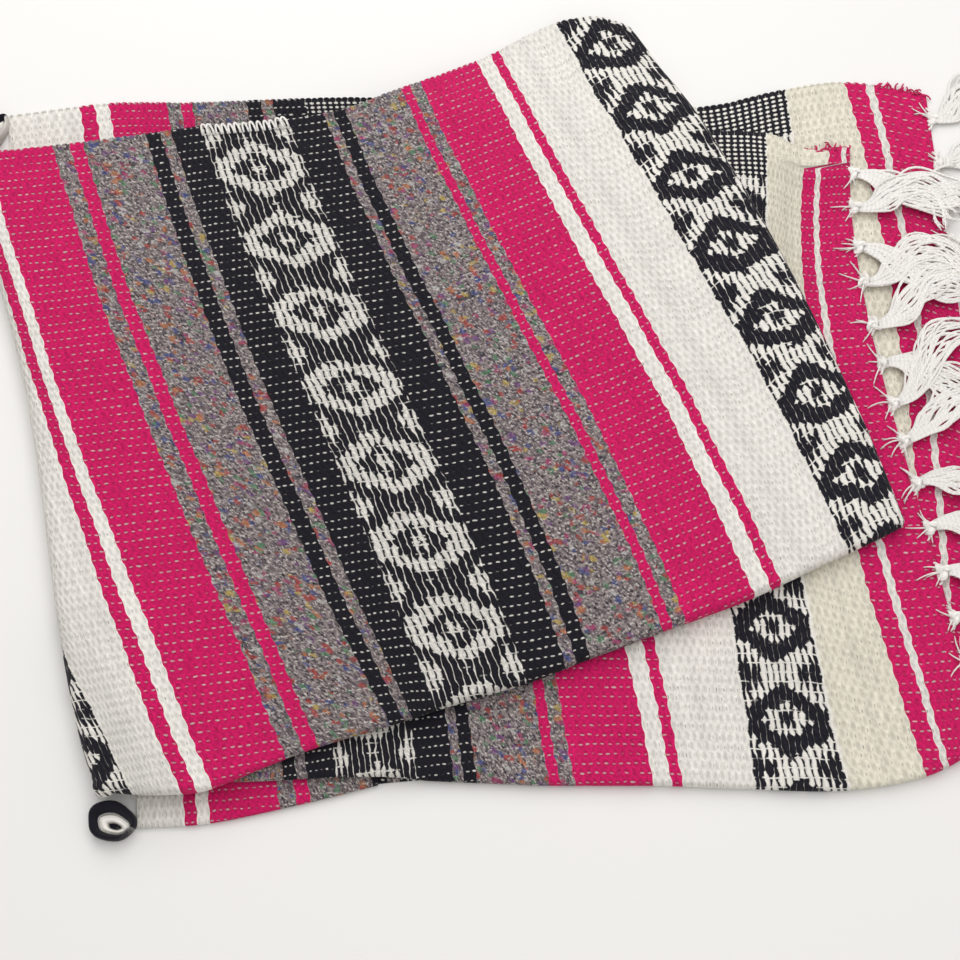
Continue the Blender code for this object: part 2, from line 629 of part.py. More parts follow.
def grow_lock(bm, face, fringe, tassel, lock, frame):
    """Draws one lock out of a face of the knot, section by section."""
    _, outward, along = frame
    phase = tassel / fringe.tassels
    lean = SWAY * math.sin(2.0 * math.pi * (SWAY_WAVES * phase + fringe.wave))
    lean += fringe.fan * ((lock + 0.5) / fringe.locks - 0.5)
    bend = BEND * math.sin(2.0 * math.pi * (BEND_WAVES * phase + BEND_START + fringe.wave))
    centre = face.calc_center_median()
    signs = [(1.0 if (v.co - centre).xy.dot(along) > 0 else -1.0, 1.0 if v.co.z > centre.z else -1.0)
             for v in face.verts]
    spot = centre.xy
    step = fringe.length * (1.0 - LOCK_UNEVEN * ((tassel * 5 + lock * 3) % 4)) / fringe.sections
    for section in range(1, fringe.sections + 1):
        share = section / fringe.sections
        angle = lean + bend * share * share
        heading = outward * math.cos(angle) + along * math.sin(angle)
        side = Vector((-heading.y, heading.x))
        if side.dot(along) < 0:
            side = -side
        spot = spot + step * heading
        height = four_way(fringe.heights, share)
        half_width = fringe.lock_width / 2.0 * (1.0 - (1.0 - LOCK_END) * share)
        half_height = LOCK_HEIGHT / 2.0 * (1.0 - (1.0 - LOCK_END) * share)
        face = bmesh.ops.extrude_discrete_faces(bm, faces=[face])["faces"][0]
        for vert, (aside, above) in zip(face.verts, signs):
            at = spot + side * aside * half_width
            vert.co = (at.x, at.y, height + above * half_height)


def cloth_material(name, colour):
    """A matt yarn colour."""
    made = bpy.data.materials.new(name)
    made.use_nodes = True
    shader = made.node_tree.nodes["Principled BSDF"]
    shader.inputs["Base Color"].default_value = (*colour, 1.0)
    shader.inputs["Roughness"].default_value = 0.9
    shader.inputs["Metallic"].default_value = 0.0
    return made


def main():
    """Clears the scene and builds each piece in its own material."""
    for item in list(bpy.data.objects):
        bpy.data.objects.remove(item, do_unlink=True)
    collection = bpy.data.collections.new("Folded woven blanket")
    bpy.context.scene.collection.children.link(collection)
    pink = cloth_material("Pink yarn", PINK)
    white = cloth_material("White yarn", WHITE)
    grey = cloth_material("Grey tweed yarn", GREY)
    black = cloth_material("Black yarn", BLACK)
    make_under_ply(collection, white)
    make_tucked_edge(collection, pink)
    make_middle_ply(collection, pink)
    make_inner_layers(collection, grey)
    make_inner_corner(collection, grey)
    make_top_leaf(collection, grey)
    make_spine_end("spine_foot", SPINE_FOOT, collection, black)
    make_spine_end("spine_head", SPINE_HEAD, collection, black)
    make_fringe("middle_fringe", MIDDLE_RAILS, MIDDLE_FRINGE, collection, white)
    make_fringe("under_fringe", UNDER_RAILS, UNDER_FRINGE, collection, white)


main()
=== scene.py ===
"""A thick hand-loomed striped blanket, folded in four and laid askew on a pale table.

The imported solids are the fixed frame. Each stretch of cloth is a thin closed shell on
its solid's form, and carries its place in the whole cloth as a point attribute, from
which one woven finish works out stripes, figures, tweed and the weave's relief.
"""

import logging
import math
import random
from dataclasses import dataclass, field
from enum import Enum
from typing import Optional, Sequence, Union

import bpy
import numpy as np
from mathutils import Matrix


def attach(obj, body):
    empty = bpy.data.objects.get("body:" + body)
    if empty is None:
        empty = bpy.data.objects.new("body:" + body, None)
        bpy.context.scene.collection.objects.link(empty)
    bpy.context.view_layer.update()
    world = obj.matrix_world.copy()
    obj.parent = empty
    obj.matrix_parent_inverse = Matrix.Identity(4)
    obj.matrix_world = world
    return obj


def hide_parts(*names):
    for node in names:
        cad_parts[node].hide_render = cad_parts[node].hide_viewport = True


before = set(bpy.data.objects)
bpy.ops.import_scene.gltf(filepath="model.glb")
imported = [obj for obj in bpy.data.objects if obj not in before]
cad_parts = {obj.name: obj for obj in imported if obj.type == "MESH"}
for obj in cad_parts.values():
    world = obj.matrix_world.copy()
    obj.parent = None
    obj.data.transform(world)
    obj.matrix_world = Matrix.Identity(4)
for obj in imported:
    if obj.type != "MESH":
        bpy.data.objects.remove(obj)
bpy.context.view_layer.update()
BODY = "root"

log = logging.getLogger("blanket")

Array = np.ndarray
Material = bpy.types.Material
Piece = bpy.types.Object
Socket = bpy.types.NodeSocket
Number = Union[float, "Value"]


class Slot(Enum):
    """The record's material slots."""

    PINK = "pink_yarn"
    WHITE = "white_yarn"
    GREY = "grey_tweed"
    BLACK = "black_yarn"


# Sizes of the cloth and its weave, in metres

PART_MIDDLE = (0.0144, 0.0023)
CLOTH_WIDTH = 0.66          # from the selvedge to the folded edge, where the cloth lies straight
LEAF_WIDTH = 0.64           # the same over the top leaf
PLY = 0.0030
CLEAR = 0.0004              # between two plies
FLOOR_CLEAR = 0.0006        # between a rolled edge and the table
PICK = 0.0032               # from one weft yarn to the next
WARP = 0.0086               # from one warp yarn to the next
FIGURE_STEP = 0.392         # from one figured band to the next
FIGURE_PITCH = (0.085, 0.0835)      # from one diamond to the next, black ones and white ones
FIGURE_COLUMN = 0.0066      # a white and a black figure yarn side by side
FIGURE_HALF = 0.0427        # half a figured band's width
FIRST_DIAMOND = (0.035, 0.054)      # from the selvedge, black ones and white ones
UNEVEN = ((0.00032, 0.050, 3), (0.00014, 0.017, 7))     # the cloth's unevenness: height, size and seed


# Small sums on arrays

def smooth(value: Array, low: float, high: float) -> Array:
    """0 below low, 1 above high, and a soft step between."""
    t = np.clip((value - low) / (high - low), 0.0, 1.0)
    return t * t * (3.0 - 2.0 * t)


def four_way(values: Sequence[float], t: Array) -> Array:
    """The cubic through four evenly spaced values, at t from 0 to 1."""
    return thirds(t) @ np.asarray(values, dtype=float)


def thirds(t: Array) -> Array:
    """The weights of four evenly spaced values for the cubic through them.

    Args:
        t: Places from 0 to 1.

    Returns:
        Four weights for each place, last in the array.
    """
    s = 3.0 * np.asarray(t, dtype=float)
    return np.stack([
        -(s - 1) * (s - 2) * (s - 3) / 6,
        s * (s - 2) * (s - 3) / 2,
        -s * (s - 1) * (s - 3) / 2,
        s * (s - 1) * (s - 2) / 6,
    ], axis=-1)


def unit(vectors: Array) -> Array:
    """The vectors at length 1, and 0 where they have none."""
    length = np.linalg.norm(vectors, axis=-1, keepdims=True)
    return vectors / np.maximum(length, 1e-9)


def ripple(points: Array, size: float, seed: int) -> Array:
    """A soft uneven field between about -1 and 1 over places in the cloth.

    Args:
        points: Places, as rows of two numbers in metres.
        size: The usual distance from crest to crest.
        seed: Which field.

    Returns:
        One number for each place.
    """
    draw = random.Random(seed)
    total = np.zeros(points.shape[:-1])
    for _ in range(5):
        angle = draw.uniform(0.0, 2.0 * math.pi)
        wave = 2.0 * math.pi / (size * draw.uniform(0.7, 1.6))
        phase = draw.uniform(0.0, 2.0 * math.pi)
        across = points[..., 0] * math.cos(angle) + points[..., 1] * math.sin(angle)
        total += np.sin(wave * across + phase)
    return total / 3.0


# Shader sums

class Value:
    """A shader number that can be written in sums."""

    def __init__(self, nodes: "Nodes", socket: Socket) -> None:
        """Wraps an output socket."""
        self.nodes = nodes
        self.socket = socket

    def math(self, operation: str, *others: Number, swap: bool = False) -> "Value":
        """Adds a Math node.

        Args:
            operation: The node's operation.
            others: The numbers or values after this one.
            swap: Whether this one comes last.

        Returns:
            The result.
        """
        terms = [*others, self] if swap else [self, *others]
        return self.nodes.value("ShaderNodeMath", {"operation": operation}, dict(enumerate(terms)))

    def __add__(self, other: Number) -> "Value":
        """The sum."""
        return self.math("ADD", other)

    def __radd__(self, other: Number) -> "Value":
        """The sum."""
        return self.math("ADD", other)

    def __sub__(self, other: Number) -> "Value":
        """The difference."""
        return self.math("SUBTRACT", other)

    def __rsub__(self, other: Number) -> "Value":
        """The difference, the other way round."""
        return self.math("SUBTRACT", other, swap=True)

    def __mul__(self, other: Number) -> "Value":
        """The product."""
        return self.math("MULTIPLY", other)

    def __rmul__(self, other: Number) -> "Value":
        """The product."""
        return self.math("MULTIPLY", other)

    def __truediv__(self, other: Number) -> "Value":
        """The quotient."""
        return self.math("DIVIDE", other)

    def __abs__(self) -> "Value":
        """The size."""
        return self.math("ABSOLUTE")

    def above(self, limit: Number) -> "Value":
        """1 where this is above the limit."""
        return self.math("GREATER_THAN", limit)

    def most(self, *others: Number) -> "Value":
        """The largest of this and the others.

        Args:
            others: The others.

        Returns:
            The largest.
        """
        result = self
        for other in others:
            result = result.math("MAXIMUM", other)
        return result

    def least(self, other: Number) -> "Value":
        """The smaller of two."""
        return self.math("MINIMUM", other)

    def rounded(self) -> "Value":
        """The nearest whole number."""
        return self.math("ROUND")

    def step(self, low: float, high: float, first: float = 0.0, last: float = 1.0) -> "Value":
        """A soft step.

        Args:
            low: Where it starts.
            high: Where it ends, which may be below low.
            first: The result up to low.
            last: The result past high.

        Returns:
            The stepped value.
        """
        if high < low:
            low, high, first, last = high, low, last, first
        return self.nodes.value(
            "ShaderNodeMapRange", {"interpolation_type": "SMOOTHSTEP"},
            {0: self, 1: low, 2: high, 3: first, 4: last})


Input = Union[float, Sequence[float], Value, Socket]


class Nodes:
    """Adds nodes to a material."""

    def __init__(self, name: str) -> None:
        """Makes the material.

        Args:
            name: The finish's name.
        """
        self.material = bpy.data.materials.new(name)
        self.material.use_nodes = True
        self.tree = self.material.node_tree
        self.surface = self.tree.nodes["Principled BSDF"]

    def add(self, kind: str, settings: Optional[dict] = None,
            inputs: Optional[dict] = None) -> bpy.types.Node:
        """Adds a node.

        Args:
            kind: The node's type.
            settings: Its properties, set first; "stops" are a ramp's (place, colour) pairs.
            inputs: Values or links of its sockets, by name or number.

        Returns:
            The node.
        """
        node = self.tree.nodes.new(kind)
        for name, setting in (settings or {}).items():
            if name == "stops":
                self.set_stops(node.color_ramp, setting)
            else:
                setattr(node, name, setting)
        for name, given in (inputs or {}).items():
            self.feed(node.inputs[name], given)
        return node

    def feed(self, socket: Socket, given: Input) -> None:
        """Sets a socket to a value, or links it.

        Args:
            socket: The input.
            given: A number, a colour or what feeds it.
        """
        if isinstance(given, Value):
            given = given.socket
        if isinstance(given, Socket):
            self.tree.links.new(given, socket)
        else:
            socket.default_value = given

    @staticmethod
    def set_stops(ramp: bpy.types.ColorRamp, stops: Sequence[tuple]) -> None:
        """Gives a colour ramp its stops.

        Args:
            ramp: The ramp.
            stops: Its (place, colour) pairs.
        """
        ramp.interpolation = "CONSTANT"
        while len(ramp.elements) > 1:
            ramp.elements.remove(ramp.elements[-1])
        for number, (place, colour) in enumerate(stops):
            element = ramp.elements[0] if number == 0 else ramp.elements.new(place)
            element.position = place
            element.color = (*colour, 1.0)

    def value(self, kind: str, settings: Optional[dict] = None, inputs: Optional[dict] = None,
              output: Union[int, str] = 0) -> Value:
        """Adds a node and wraps one of its outputs."""
        return Value(self, self.add(kind, settings, inputs).outputs[output])

    def vector(self, x: Number, y: Number, z: Number = 0.0) -> Value:
        """Three values as a vector."""
        return self.value("ShaderNodeCombineXYZ", {}, {0: x, 1: y, 2: z})

    def noise(self, place: Value, scale: float = 1.0, detail: float = 1.0) -> Value:
        """Soft noise from 0 to 1 at a place."""
        return self.value("ShaderNodeTexNoise", {}, {"Vector": place, "Scale": scale, "Detail": detail})

    def chance(self, place: Value) -> Value:
        """An even random number from 0 to 1 for a place."""
        return self.value("ShaderNodeTexWhiteNoise", {"noise_dimensions": "3D"}, {"Vector": place})

    def mix(self, factor: Number, first: Input, second: Input) -> Value:
        """Mixes two colours.

        Args:
            factor: The second colour's share.
            first: A colour, as three numbers or a value.
            second: The other.

        Returns:
            The mixed colour.
        """
        ready = [(*c, 1.0) if isinstance(c, tuple) else c for c in (first, second)]
        return self.value("ShaderNodeMix", {"data_type": "RGBA"}, {0: factor, 6: ready[0], 7: ready[1]}, 2)

    def shade(self, colour: Value, amount: Value) -> Value:
        """A colour made darker or lighter by a number."""
        return self.value("ShaderNodeVectorMath", {"operation": "SCALE"}, {0: colour, "Scale": amount})

    def ramp(self, factor: Value, stops: Sequence[tuple]) -> Value:
        """A colour ramp of flat stretches."""
        return self.value("ShaderNodeValToRGB", {"stops": stops}, {0: factor})

    def parts(self, kind: str, whole: Value) -> tuple:
        """The three numbers of a vector or colour."""
        return tuple(Value(self, socket) for socket in self.add(kind, {}, {0: whole}).outputs)

    def place(self, name: str) -> tuple:
        """The three numbers of a point attribute."""
        settings = {"attribute_type": "GEOMETRY", "attribute_name": name}
        return self.parts("ShaderNodeSeparateXYZ",
                          self.value("ShaderNodeAttribute", settings, {}, "Vector"))

    def fix(self, constants: dict) -> None:
        """Sets the surface's own sockets, by name."""
        for name, constant in constants.items():
            self.surface.inputs[name].default_value = constant

    def cover(self, colour: Value, height: Value, strength: float, distance: float) -> None:
        """Feeds the surface's colour and its relief.

        Args:
            colour: The colour.
            height: The relief, from about 0 to 1.
            strength: The relief's strength.
            distance: Its depth, in metres.
        """
        self.feed(self.surface.inputs["Base Color"], colour)
        settings = {"Strength": strength, "Distance": distance, "Height": height}
        self.feed(self.surface.inputs["Normal"], self.value("ShaderNodeBump", {}, settings, "Normal"))


Colour = tuple[float, float, float]


@dataclass(frozen=True)
class Dye:
    """The colours of the yarns, as linear light."""

    white: Colour = (0.900, 0.865, 0.805)
    cream: Colour = (0.840, 0.795, 0.665)
    pink: Colour = (0.770, 0.009, 0.145)
    grey: Colour = (0.205, 0.175, 0.180)
    black: Colour = (0.010, 0.009, 0.016)


DYE = Dye()

# Stripes from the middle of the blanket to its end: where each starts
STRIPES: tuple[tuple[float, Colour], ...] = (
    (0.000, DYE.white), (0.106, DYE.pink), (0.119, DYE.white), (0.132, DYE.pink), (0.199, DYE.grey),
    (0.211, DYE.pink), (0.224, DYE.grey), (0.289, DYE.black), (0.302, DYE.grey), (0.314, DYE.black),
    (0.470, DYE.grey), (0.482, DYE.black), (0.495, DYE.grey), (0.560, DYE.pink), (0.573, DYE.grey),
    (0.585, DYE.pink), (0.652, DYE.white), (0.665, DYE.pink), (0.678, DYE.white), (0.826, DYE.cream),
    (0.882, DYE.pink), (0.896, DYE.white), (0.905, DYE.pink),
)

# Colours of the flecks in the tweed, by share
FLECKS: tuple[tuple[float, Colour], ...] = (
    (0.00, (0.46, 0.05, 0.04)), (0.20, (0.58, 0.20, 0.07)), (0.30, (0.60, 0.44, 0.10)),
    (0.37, (0.10, 0.28, 0.14)), (0.50, (0.05, 0.08, 0.28)), (0.64, (0.20, 0.07, 0.24)),
    (0.76, (0.44, 0.05, 0.17)), (0.86, (0.62, 0.60, 0.58)), (0.94, (0.03, 0.03, 0.05)),
)


class Spot:
    """A shaded place in the cloth, read from its point attribute.

    Attributes:
        n: The material's nodes.
        signed: Distance along the blanket from its middle, below 0 on one side.
        cut: The same without its sign.
        down: Distance from the selvedge.
        ply: 0 on the top leaf, more below it.
        warps: Distance from the selvedge, in warps.
        wander: Slow unevenness round 0.
        shiver: Fine unevenness round 0.
    """

    def __init__(self, n: Nodes) -> None:
        """Reads the place.

        Args:
            n: The material's nodes.
        """
        self.n = n
        self.signed, self.down, self.ply = n.place("cloth")
        self.cut = abs(self.signed)
        self.warps = (self.down + (self.cloud(120.0) - 0.5) * 0.0030) / WARP
        self.wander = self.cloud(9.0) - 0.5
        self.shiver = self.cloud(150.0) - 0.5

    def cloud(self, scale: float) -> Value:
        """Soft noise from 0 to 1, with about this many spots to a metre."""
        return self.n.noise(self.n.vector(self.signed, self.down, self.ply), scale)

    def streaks(self, slant: float, fine: tuple, layer: Number, detail: float = 1.0) -> Value:
        """Soft noise from 0 to 1 in slanting streaks.

        Args:
            slant: How far the streaks lean.
            fine: How many there are to a metre, along the blanket and across it.
            layer: Which of many such noises.
            detail: How many finer noises lie over it.

        Returns:
            The noise.
        """
        along = (self.signed - self.down * slant) * fine[0]
        return self.n.noise(self.n.vector(along, self.down * fine[1], layer), 1.0, detail)


@dataclass(frozen=True)
class Ring:
    """A diamond's ring, between two slanting lines."""

    inner: tuple        # the inner line's height at the band's middle line, and its slant
    outer: tuple        # the same of the outer line
    reach: float        # how far out the ring goes
    soft: float         # the distance over which it becomes solid

    def drawn(self, out: Value, level: Value) -> Value:
        """Draws the ring.

        Args:
            out: Distance from the band's middle line.
            level: Distance from the diamond's middle, along the band.

        Returns:
            Above 0 inside the ring.
        """
        past_inner = level - (self.inner[0] - out * self.inner[1])
        in_outer = (self.outer[0] - out * self.outer[1]) - level
        return past_inner.least(in_outer).least((self.reach - out) * 3.0) / self.soft


@dataclass(frozen=True)
class FiguredBands:
    """The bands of diamonds: white on black round the middle of each half, black on white elsewhere."""

    drift: float = 0.004        # how far the bands wander
    tremble: float = 0.0016     # how far their columns shiver
    edge: float = 0.0004        # half the softness of their edges
    ragged: float = 0.0008      # how far their edges step at each warp
    plain_edge: tuple = (0.050, 0.046)  # checked blocks instead of figures, up to here from the selvedge
    slip_fine: tuple = (95.0, 80.0)
    slip: float = 0.80          # how far strokes slip aside, in columns
    first_below: tuple = (-0.036, 0.014)    # how much later the second ply's start, black and white ones
    stroke_luck: float = 0.0058     # how unevenly strokes end
    block_pitch: float = 0.0050
    block_start: tuple = (0.0020, 0.0034)
    full: float = 0.385         # half a full white stroke's width, in columns
    thin: float = 0.058         # half the width of the white that shows between black strokes
    white_ring: Ring = Ring((0.0205, 0.74), (0.0325, 0.50), 0.0430, 0.0034)
    black_ring: Ring = Ring((0.0172, 0.66), (0.0348, 0.60), 0.0400, 0.0030)

    def drawn(self, spot: Spot) -> tuple:
        """Works the bands out.

        Args:
            spot: The place in the cloth.

        Returns:
            The bands' mask, their colour and their yarns' heights, from which shade is painted onto the
            colour.
        """
        n, down, warps = spot.n, spot.down, spot.warps
        number = (spot.cut / FIGURE_STEP).rounded()
        is_black = 1.0 - abs(number - 1.0).least(1.0)
        offset = spot.cut - number * FIGURE_STEP + spot.wander * self.drift
        stepped = (warps * math.pi).math("SINE") * self.ragged
        banded = abs(offset + stepped).step(FIGURE_HALF + self.edge, FIGURE_HALF - self.edge)
        plain_edge = down.step(*self.plain_edge) * spot.ply.above(0.5)
        slip = (spot.streaks(0.0, self.slip_fine, spot.ply) - 0.5) * (1.0 - plain_edge) * self.slip
        strayed = offset + spot.shiver * self.tremble + spot.wander * self.drift
        columns = strayed / FIGURE_COLUMN + slip
        column = columns.math("FLOOR") + 0.5
        aside = columns - column
        out = abs(column) * FIGURE_COLUMN
        pitch = FIGURE_PITCH[0] + is_black * (FIGURE_PITCH[1] - FIGURE_PITCH[0])
        first = FIRST_DIAMOND[0] + is_black * (FIRST_DIAMOND[1] - FIRST_DIAMOND[0])
        below = is_black * (self.first_below[1] - self.first_below[0]) + self.first_below[0]
        first = first + (1.0 - abs(spot.ply - 1.0).least(1.0)) * below
        lucky_row = (warps * 0.5 + column * 0.37).rounded()
        luck = n.chance(n.vector(column, lucky_row, spot.ply)) - 0.5
        turns = (down + spot.wander * 0.010 + luck * self.stroke_luck - first) / pitch
        level = abs(turns - turns.rounded()) * pitch
        away = pitch * 0.5 - level
        on_black = self.white_figure(out, level, away)
        on_white = 0.0 - self.black_figure(out, level, away)
        white = (on_black * is_black + on_white * (1.0 - is_black)).most(-1.2).least(1.2)
        blocks = (down * (2.0 * math.pi / self.block_pitch)).math("COSINE").step(-0.25, 0.45) * 0.30
        blocks = blocks * down.step(*self.block_start)
        half = (white + luck * 0.36).step(-0.75, 0.80, 0.0, 1.0)
        half = half * self.full + (1.0 - half) * is_black * self.thin
        half = half * (1.0 - plain_edge) + blocks * plain_edge
        inside = half - abs(aside)
        is_white = (inside + spot.shiver * 0.20).step(-0.045, 0.045)
        dent = abs(warps - warps.rounded())
        link = dent.step(0.10, 0.05) * (white + luck * 0.9).step(-0.45, 0.10) * 0.90 * (1.0 - plain_edge)
        cross = level.step(0.0012, 0.0006) * out.step(0.0100, 0.0080) * is_black
        colour = n.mix(is_white.most(link, cross), DYE.black, DYE.white)
        # painted shade: each stroke's height, falling off to its sides and lower at the dents between
        # warps, darkens the colour
        white_round = (inside / (half + 0.02)).step(0.0, 0.9)
        black_round = ((abs(aside) - half) / (0.53 - half)).step(0.0, 0.9)
        rise = (white_round * is_white).most(black_round * (1.0 - is_white)).most(link * 0.8)
        return banded, colour, rise * dent.step(0.0, 0.30, 0.86, 1.0)

    @staticmethod
    def patch(reach: Value, length: float, miss: Value) -> Value:
        """A figure's stroke: above 0 within a length, and only where miss is 0 or less."""
        return 1.0 - reach / length - miss.most(0.0) * 1000.0

    def white_figure(self, out: Value, level: Value, away: Value) -> Value:
        """White diamonds with a small cross in each, and bars at the band's sides.

        Args:
            out: Distance from the band's middle line.
            level: Distance from the nearest diamond's middle, along the band.
            away: Distance from the level halfway between two diamonds.

        Returns:
            Above 0 where the figure is.
        """
        cross = self.patch(level, 0.0052, out - 0.0045) * 0.5
        bars = self.patch(away, 0.0120, 0.0335 - out)
        ticks = self.patch(away, 0.0060, abs(out - 0.0290) - 0.0030)
        lines = 0.0 - out.step(0.0030, 0.0200, 0.42, 0.95)
        return self.white_ring.drawn(out, level).most(cross, bars, ticks, lines)

    def black_figure(self, out: Value, level: Value, away: Value) -> Value:
        """Black diamonds with a dark eye, and blocks at the band's sides.

        Args:
            out: Distance from the band's middle line.
            level: Distance from the nearest diamond's middle, along the band.
            away: Distance from the level halfway between two diamonds.

        Returns:
            Above 0 where the figure is.
        """
        eye = self.patch(level, 0.0080, out - 0.0045)
        bars = self.patch(away, 0.0170, abs(out - 0.0360) - 0.0058)
        blocks = self.patch(away, 0.0080, abs(out - 0.0225) - 0.0040)
        return self.black_ring.drawn(out, level).most(eye, bars, blocks)


@dataclass(frozen=True)
class WovenCloth:
    """The blanket's finish: weft stripes, tweed and figured bands, worked out from places in the cloth."""

    relief: float = 0.0014
    bulge: float = 0.23         # how far a weft yarn swells over a warp, in picks
    drift: float = 0.006        # how far the stripes wander
    tremble: float = 0.0012     # how far their edges shiver
    dash: tuple = (0.1911, 0.074)   # half a warp dash's length, in dash steps, and its width, in warps
    slit: tuple = (0.080, 0.22)     # the same of the slit between two pale yarns, where shade is painted
    # painted shade: the dark colour put into the slit between two pale weft yarns
    slit_shade_colour: Colour = (0.27, 0.25, 0.22)
    twist_slant: float = 0.38
    twist_fine: tuple = (900.0, 360.0)
    tweed_slant: float = 0.36
    grains_fine: tuple = (520.0, 340.0)
    tone_fine: tuple = (250.0, 140.0)
    fleck_fine: tuple = (225.0, 185.0)
    crowd_fine: tuple = (50.0, 50.0)
    ash: tuple = ((0.150, 0.120, 0.132), (0.360, 0.300, 0.295))
    light_grain: Colour = (0.72, 0.67, 0.63)
    dark_grain: Colour = (0.028, 0.024, 0.031)

    def make(self) -> Material:
        """Builds the material.

        Returns:
            The material.
        """
        n = Nodes("Woven cloth")
        spot = Spot(n)
        picks = (spot.cut + spot.wander * self.drift + spot.shiver * self.tremble) / PICK
        rows = (spot.warps * math.pi).math("COSINE")
        row = spot.warps.rounded()
        beside = spot.warps - row
        stagger = picks * 0.5 + (row * 0.5).math("FRACT")
        step = stagger.rounded()
        aside = stagger - step
        luck = n.chance(n.vector(step, row, spot.ply))
        pick = (picks - (picks * math.pi).math("SINE") * rows * self.bulge).rounded()
        hill = 0.5 - (picks * math.pi).math("COSINE") * rows * 0.5
        strokes = spot.streaks(self.twist_slant, self.twist_fine, spot.ply, 1.5).step(0.22, 0.78)
        dash = self.dashes(aside, beside, luck, spot.shiver)
        slit = self.slits(aside, beside, luck)
        plain, pale, dark = self.plain_colour(spot, pick, strokes)
        banded, figure, figure_shade_height = FiguredBands().drawn(spot)
        cover = (dash * (luck * 0.35 + 0.36 + dark * 0.45)).least(1.0) * (1.0 - pale)
        # painted shade: the slits between pale yarns take the slit's shade colour
        ground = n.mix(cover, n.mix(slit * pale * 0.75, plain, self.slit_shade_colour), DYE.white)
        swell = hill * (1.0 - slit * 0.5).most(dash * 0.9)
        # painted shade: the yarns' heights only darken the colour, lower between yarns and at the dents;
        # they do not feed the bump
        height = swell * (1.0 - banded) + figure_shade_height * banded
        # painted shade along the twist's grooves, deeper on dyed yarn; the cloud below adds a random tone
        twist_shade_depth = (1.0 - pale) * 0.30 + 0.11
        shading = height.step(0.0, 0.75, 0.78, 1.0) * (1.0 - twist_shade_depth * (1.0 - strokes))
        shading = shading * (spot.cloud(26.0) * 0.16 + 0.92)
        woven = n.mix(banded, ground, figure)
        n.cover(n.shade(woven, shading), swell * 0.90 + strokes * 0.55, 1.0, self.relief)
        n.fix({"Roughness": 0.92, "Sheen Weight": 0.06, "Sheen Roughness": 0.55,
               "Specular IOR Level": 0.18})
        return n.material

    def dashes(self, aside: Value, beside: Value, luck: Value, shiver: Value) -> Value:
        """Where a white warp shows between two weft yarns.

        Args:
            aside: Distance from the dash's middle, in dash steps.
            beside: Distance from the warp, in warps.
            luck: A random number for each dash.
            shiver: Fine unevenness.

        Returns:
            The dashes' mask.
        """
        long = (aside + shiver * 0.16) / (luck * 0.12 + self.dash[0])
        wide = (beside + shiver * 0.05) / (luck * 0.030 + self.dash[1])
        return (long * long + wide * wide).step(1.35, 0.30) * luck.step(0.03, 0.22)

    def slits(self, aside: Value, beside: Value, luck: Value) -> Value:
        """Where painted shade darkens the slit between two pale weft yarns.

        Args:
            aside: Distance from the dash's middle, in dash steps.
            beside: Distance from the warp, in warps.
            luck: A random number for each slit.

        Returns:
            The slits' mask.
        """
        long = (0.5 - abs(aside)) / self.slit[0]
        wide = beside / self.slit[1]
        return (long * long + wide * wide).step(1.40, 0.20) * luck.step(0.30, 0.95)

    def plain_colour(self, spot: Spot, pick: Value, strokes: Value) -> tuple:
        """The weft's colour, a stripe's dye or tweed, and where it is undyed and black.

        Args:
            spot: The place in the cloth.
            pick: Which weft yarn, from the blanket's middle.
            strokes: The yarn's twist.

        Returns:
            The colour, the undyed stripes' mask and the black ones'.
        """
        n = spot.n
        at = (pick + 0.5) * PICK
        tweed, pale, dark = (n.ramp(at, self.marked(dyes)) for dyes in (
            (DYE.grey,), (DYE.white, DYE.cream), (DYE.black,)))
        grains = spot.streaks(self.tweed_slant, self.grains_fine, 5.0, 1.5)
        tone = spot.streaks(self.tweed_slant, self.tone_fine, 3.0)
        crowd = spot.streaks(self.tweed_slant, self.crowd_fine, 9.0)
        mottled = n.mix(grains.step(0.56, 0.68), n.mix(tone.step(0.36, 0.64), *self.ash), self.light_grain)
        mottled = n.mix(grains.step(0.43, 0.33), mottled, self.dark_grain)
        along = (spot.signed - spot.down * self.tweed_slant) * self.fleck_fine[0] + strokes * 0.8
        cell = n.value("ShaderNodeTexVoronoi", {}, {
            "Vector": n.vector(along, spot.down * self.fleck_fine[1], 7.0), "Scale": 1.0}, "Color")
        picked, kind, _ = n.parts("ShaderNodeSeparateColor", cell)
        chosen = (picked + crowd * 0.7).step(1.07, 1.12) * (strokes * 0.40 + 0.50)
        flecked = n.mix(chosen, mottled, n.ramp(kind, FLECKS))
        slub = n.chance(n.vector(pick, 1.0, 2.0)) * 0.12 + 0.94
        return n.shade(n.mix(tweed, n.ramp(at, STRIPES), flecked), slub), pale, dark

    @staticmethod
    def marked(dyes: Sequence[Colour]) -> list:
        """The stripes' ramp with 1 at these dyes and 0 elsewhere."""
        return [(place, (1.0,) * 3 if colour in dyes else (0.0,) * 3) for place, colour in STRIPES]


